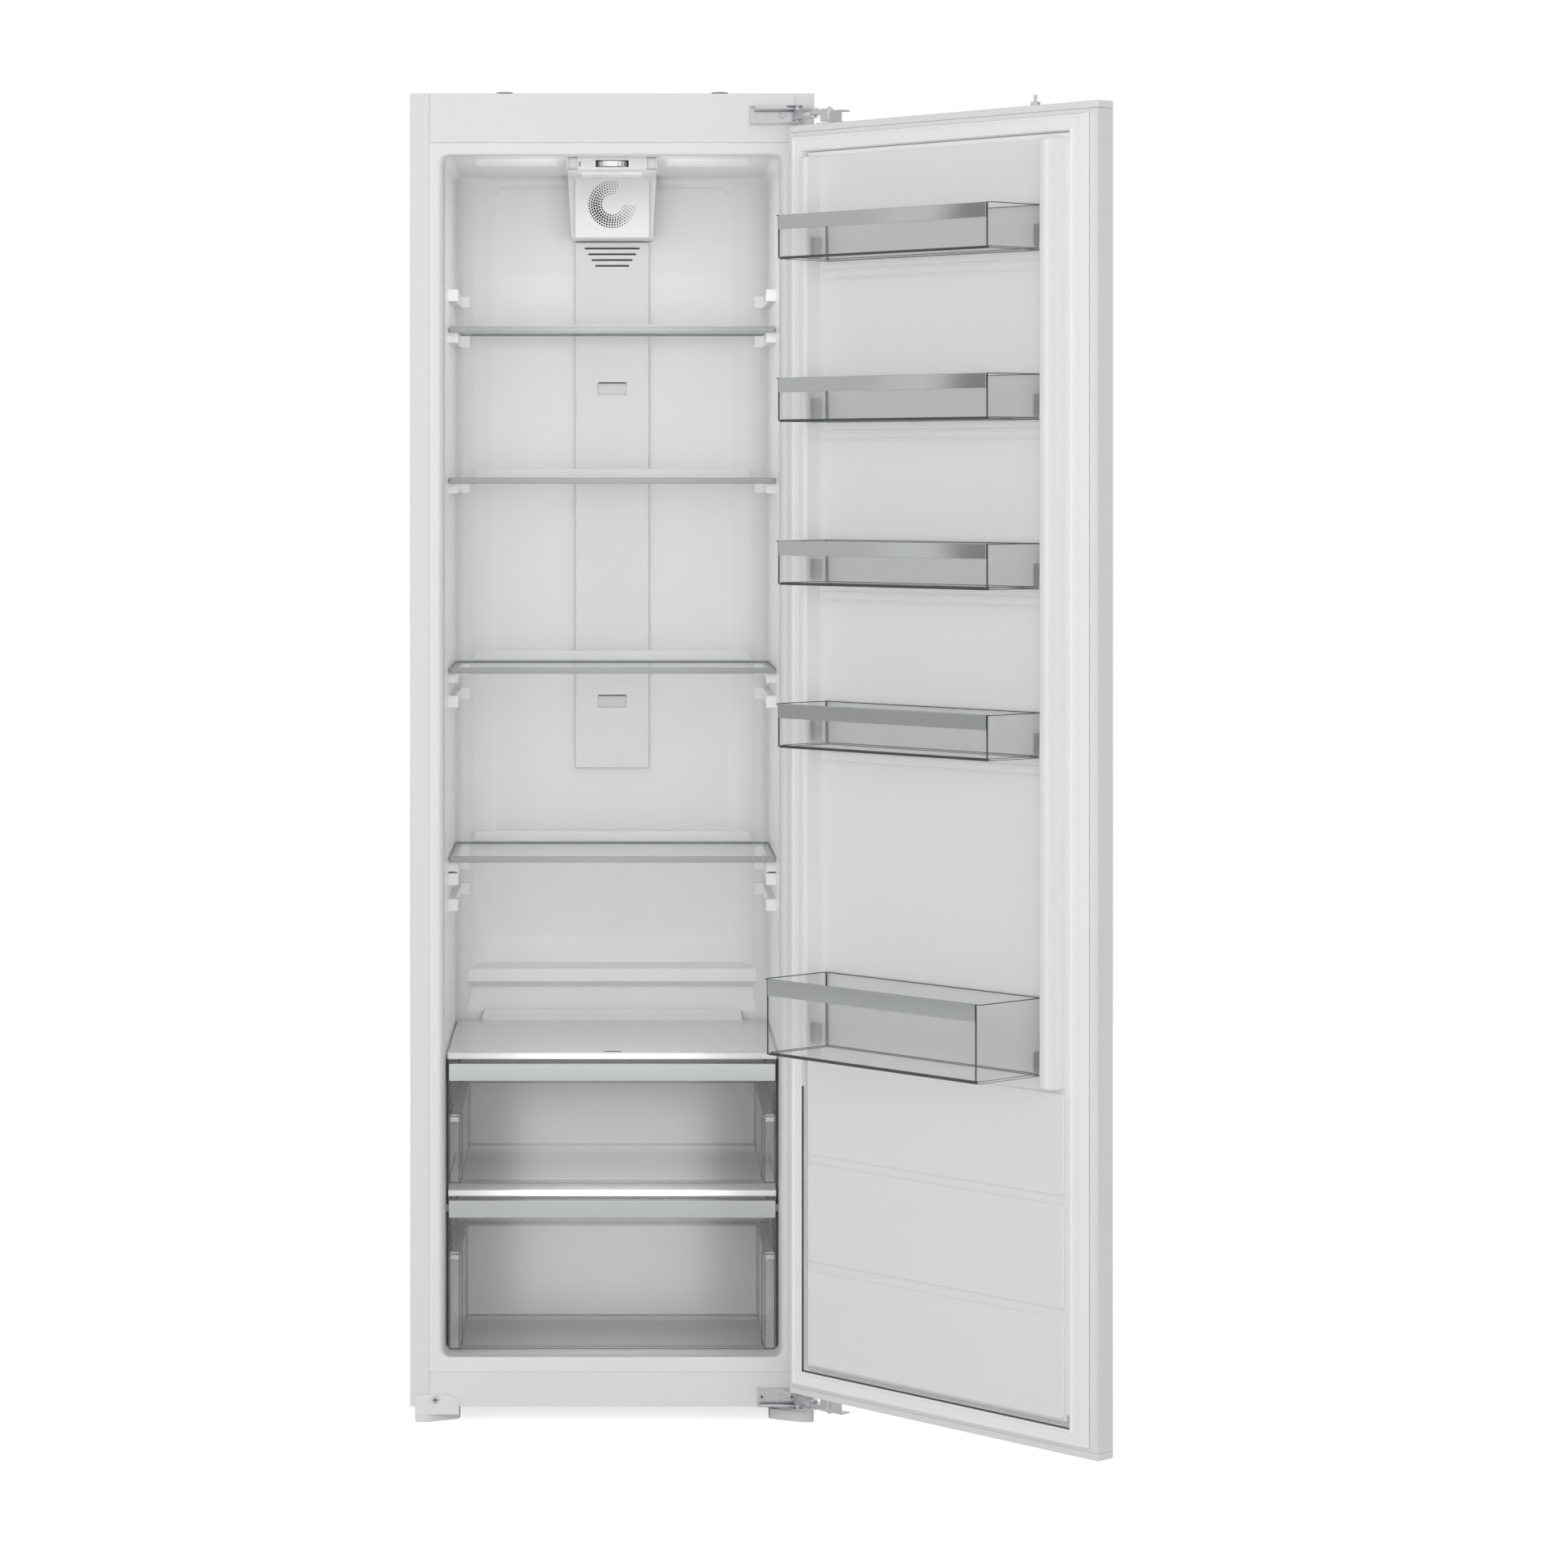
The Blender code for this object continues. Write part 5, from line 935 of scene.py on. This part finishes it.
def balcony(node, strip_height, sizes):
    """A thin tub with its hooks, its strip, and its rim where the light leaves sideways."""
    model = copied(node, SHUT)
    low, high = span(model)
    reach = max(v.co.x for v in model.data.vertices if v.co.y > high.y - 0.012)
    bpy.data.objects.remove(model)
    narrower = {"value": (0.985, 0.97, 1), "center_override": (0, low.y, low.z)}
    tub = block((-reach, low.y, low.z), (reach, high.y - 0.0018, high.z))
    edit(tub, lambda face: face.normal.z < -0.9, "FACE", (bpy.ops.transform.resize, narrower))
    round_edges(tub, 0.0080, lambda a, b: upright(a, b) and min(a.y, b.y) > high.y - 0.012, 6)
    wall = 0.0022
    hollow = ((bpy.ops.mesh.inset, {"thickness": wall, "depth": 0.0}),
              (bpy.ops.mesh.extrude_region_move,
               {"TRANSFORM_OT_translate": {"value": (0, 0, low.z + wall - high.z)}}),
              (bpy.ops.transform.resize, narrower))
    edit(tub, lambda face: face.normal.z > 0.9, "FACE", *hollow)
    round_edges(coat(tub, "clear", "clear_edge"), sizes.tub_radius, finish=1)
    hooks = [coat(round_edges(block((side * (reach - 0.0012), low.y + 0.0085, low.z + 0.004),
                                    (side * high.x, low.y + 0.0170, low.z + 0.032)), 0.0008), "clear")
             for side in (-1, 1)]
    give(joined([tub] + hooks), node, "clear", node, OPEN)
    strip = ((-reach + 0.0068, high.y - 0.0019, high.z - strip_height),
             (reach - 0.0100, high.y, high.z - 0.0002))
    give(slabs([strip], 0.0005), f"{node}_strip", "silver", node, OPEN)
    rim = [((x - 0.0008, high.y - 0.0023, low.z + 0.001),
            (x + 0.0008, high.y - 0.0009, high.z - 0.0004)) for x in (reach - 0.0090, 0.0060 - reach)]
    rim += [((0.008 - reach, high.y - 0.0075, low.z - 0.0002),
             (reach - 0.008, high.y - 0.0040, low.z + 0.0026)),
            ((reach - 0.0100, high.y - 0.0026, high.z - 0.0016),
             (reach - 0.0050, high.y - 0.0012, high.z - 0.0001))]
    for side in (-1, 1):
        rim += [((side * (reach - 0.0022), low.y + 0.001, high.z - 0.0009),
                 (side * (reach + 0.0001), high.y - 0.010, high.z - 0.0001)),
                ((side * (reach - 0.0012), low.y + 0.0002, low.z + 0.002),
                 (side * (reach + 0.0002), low.y + 0.0016, high.z - 0.001))]
    give(slabs(rim, 0.0002), f"{node}_rim", "clear_edge", node, OPEN)


class FRIDGE_OT_balconies(bpy.types.Operator):
    """Clear door balconies with their silver strips"""

    bl_idname = "fridge.balconies"
    bl_label = "Door balconies"

    def execute(self, context):
        sizes = context.scene.fridge_sizes
        for number in range(1, 6):
            balcony(f"balcony_{number}", 0.0190 if number < 5 else 0.0215, sizes)
        return {"FINISHED"}


class FRIDGE_OT_hinges(bpy.types.Operator):
    """Link hinges with their screws and rolled edges, and the stud on the door"""

    bl_idname = "fridge.hinges"
    bl_label = "Hinges"

    def execute(self, context):
        sizes = context.scene.fridge_sizes
        rolled = math.radians(40)
        for where in ("lower", "upper"):
            for part, body in (("plate", "cabinet"), ("arm", f"hinge_arm_{where}"),
                               ("link", f"hinge_link_{where}"), ("bracket", "door")):
                renewed(f"hinge_{part}_{where}", "plated", sizes.hinge_radius, sharp=rolled, body=body)
        head = screw_head(sizes.screw_radius, 0.14)
        low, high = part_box("hinge_plate_lower")
        middle, face = (low.z + high.z) / 2, FRONT - 0.0018
        for number, x in enumerate((0.1998, 0.2400), start=1):
            give(another(head, Matrix.Translation((x, face, middle))), f"hinge_screw_{number}", "plated")
        bpy.data.objects.remove(head)
        # threaded stud and nut on the door's top
        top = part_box("door_cap_top")[1].z
        stud = place(-0.1525, -0.030, 0)
        rods = [rod((stud.x, stud.y, top + 0.0072), 0.0021, 0.0150, "Z", 20),
                rod((stud.x, stud.y, top + 0.0029), 0.0062, 0.0060, "Z", 6)]
        give(joined([round_edges(each, 0.0004) for each in rods]), "door_stud", "plated", "door", OPEN)
        # the slot that leads into the keyhole, and the rolled edges
        slot = ((0.2275, face - 0.00005, middle - 0.0016), (0.2350, face + 0.0003, middle + 0.0016))
        give(slabs([slot], 0.0001, segments=1), "hinge_plate_slot", "plastic")
        end = 0.2540
        for where, radius, inset in (("lower", 0.0022, 0), ("upper", 0.0036, 0.0068)):
            low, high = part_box(f"hinge_plate_{where}")
            z = low.z + radius if where == "lower" else high.z - radius
            bead = rod(((low.x + 0.0068 + end) / 2, low.y + 0.0200 - radius, z), radius,
                       end - low.x - inset, "X")
            give(round_edges(bead, radius * 0.4, sharp=rolled), f"hinge_bead_{where}", "plated")
        return {"FINISHED"}


class FRIDGE_OT_feet(bpy.types.Operator):
    """Feet, with the screw of the left one and the plug beside it"""

    bl_idname = "fridge.feet"
    bl_label = "Feet"

    def execute(self, context):
        sizes = context.scene.fridge_sizes
        for node in ("front_foot_left", "front_foot_right"):
            renewed(node, "plastic", sizes.foot_radius, segments=3)
        renewed("rear_foot_bar", "enamel", 0.003, segments=3)
        give(screw_head(0.0050), "front_foot_screw", "plated",
             matrix=Matrix.Translation(place(-0.2362, -0.0028, 0.0100)))
        plug = rod(place(-0.1933, -0.0002, 0.0145), 0.0040, 0.0014, "Y")
        give(round_edges(plug, 0.0005), "front_panel_plug", "plastic")
        return {"FINISHED"}


def compressor():
    low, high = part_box("compressor")
    renewed("compressor", "enamel", 0.002, sharp=math.radians(40), smooth=50)
    middle = (low + high) / 2
    bpy.ops.object.select_all(action="DESELECT")
    bpy.ops.mesh.primitive_torus_add(location=(middle.x, middle.y, low.z + 0.105), major_radius=0.0640,
                                     minor_radius=0.0022, major_segments=64, minor_segments=8)
    give(bpy.context.object, "compressor_weld", "enamel")
    relay = ((middle.x + 0.056, middle.y - 0.022, low.z + 0.060),
             (middle.x + 0.084, middle.y + 0.022, low.z + 0.112))
    give(slabs([relay], 0.004, segments=3), "compressor_relay", "enamel")


def condenser(wire):
    low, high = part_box("condenser_coil")
    runs, radius, wires, steps = 12, 0.0025, 34, 12
    y = high.y - radius - 1.4 * wire
    bottom, top = low.z + 0.012, high.z - 0.012
    pitch = (top - bottom) / (runs - 1)
    reach = 0.220 - pitch / 2
    route = []
    for run in range(runs):
        z, side = bottom + run * pitch, 1 if run % 2 == 0 else -1
        route.append(Vector((-side * reach, y, z)))
        if run == runs - 1:
            route.append(Vector((side * reach, y, z)))
            continue
        for step in range(steps + 1):
            angle = -math.pi / 2 + math.pi * step / steps
            route.append(Vector((side * (reach + pitch / 2 * math.cos(angle)), y,
                                 z + pitch / 2 + pitch / 2 * math.sin(angle))))
    parts = [tube(route, radius)]
    for step in range(wires):
        x = -reach + 2 * reach * step / (wires - 1)
        for side in (-1, 1):
            line = [Vector((x, y + side * (radius + wire * 0.4), z)) for z in (low.z, high.z)]
            parts.append(tube(line, wire, sides=1))
    for side in (-1, 1):
        for z in (bottom + 0.05, (bottom + top) / 2, top - 0.05):
            foot = block((side * 0.18 - 0.009, low.y, z - 0.014), (side * 0.18 + 0.009, y, z + 0.014))
            parts.append(round_edges(foot, 0.0015))
    give(joined(parts), "condenser_coil", "enamel", smooth=50)


class FRIDGE_OT_cooling(bpy.types.Operator):
    """Compressor and condenser at the rear"""

    bl_idname = "fridge.cooling"
    bl_label = "Cooling circuit"

    def execute(self, context):
        compressor()
        condenser(context.scene.fridge_sizes.wire_radius)
        return {"FINISHED"}


OPERATORS = (
    FRIDGE_OT_stage, FRIDGE_OT_casing, FRIDGE_OT_liner, FRIDGE_OT_air, FRIDGE_OT_shelves, FRIDGE_OT_drawers,
    FRIDGE_OT_door, FRIDGE_OT_balconies, FRIDGE_OT_hinges, FRIDGE_OT_feet, FRIDGE_OT_cooling,
)


class FRIDGE_PT_panel(bpy.types.Panel):
    """Sizes, colours and steps of the refrigerator's looks"""

    bl_idname = "FRIDGE_PT_panel"
    bl_label = "Larder refrigerator"
    bl_space_type = "VIEW_3D"
    bl_region_type = "UI"
    bl_category = "Refrigerator"

    def draw(self, context):
        for group in (context.scene.fridge_sizes, context.scene.fridge_colours):
            column = self.layout.column(align=True)
            for key in group.__annotations__:
                column.prop(group, key)
        column = self.layout.column(align=True)
        for operator in OPERATORS:
            column.operator(operator.bl_idname)


CLASSES = (FridgeSizes, FridgeColours, *OPERATORS, FRIDGE_PT_panel)


def register():
    for each in CLASSES:
        bpy.utils.register_class(each)
    bpy.types.Scene.fridge_sizes = bpy.props.PointerProperty(type=FridgeSizes)
    bpy.types.Scene.fridge_colours = bpy.props.PointerProperty(type=FridgeColours)


def unregister():
    del bpy.types.Scene.fridge_colours
    del bpy.types.Scene.fridge_sizes
    for each in reversed(CLASSES):
        bpy.utils.unregister_class(each)


def main():
    register()
    make_finishes(bpy.context.scene.fridge_colours)
    for operator in OPERATORS:
        getattr(bpy.ops.fridge, operator.bl_idname.split(".")[1])()


if __name__ == "__main__":
    main()
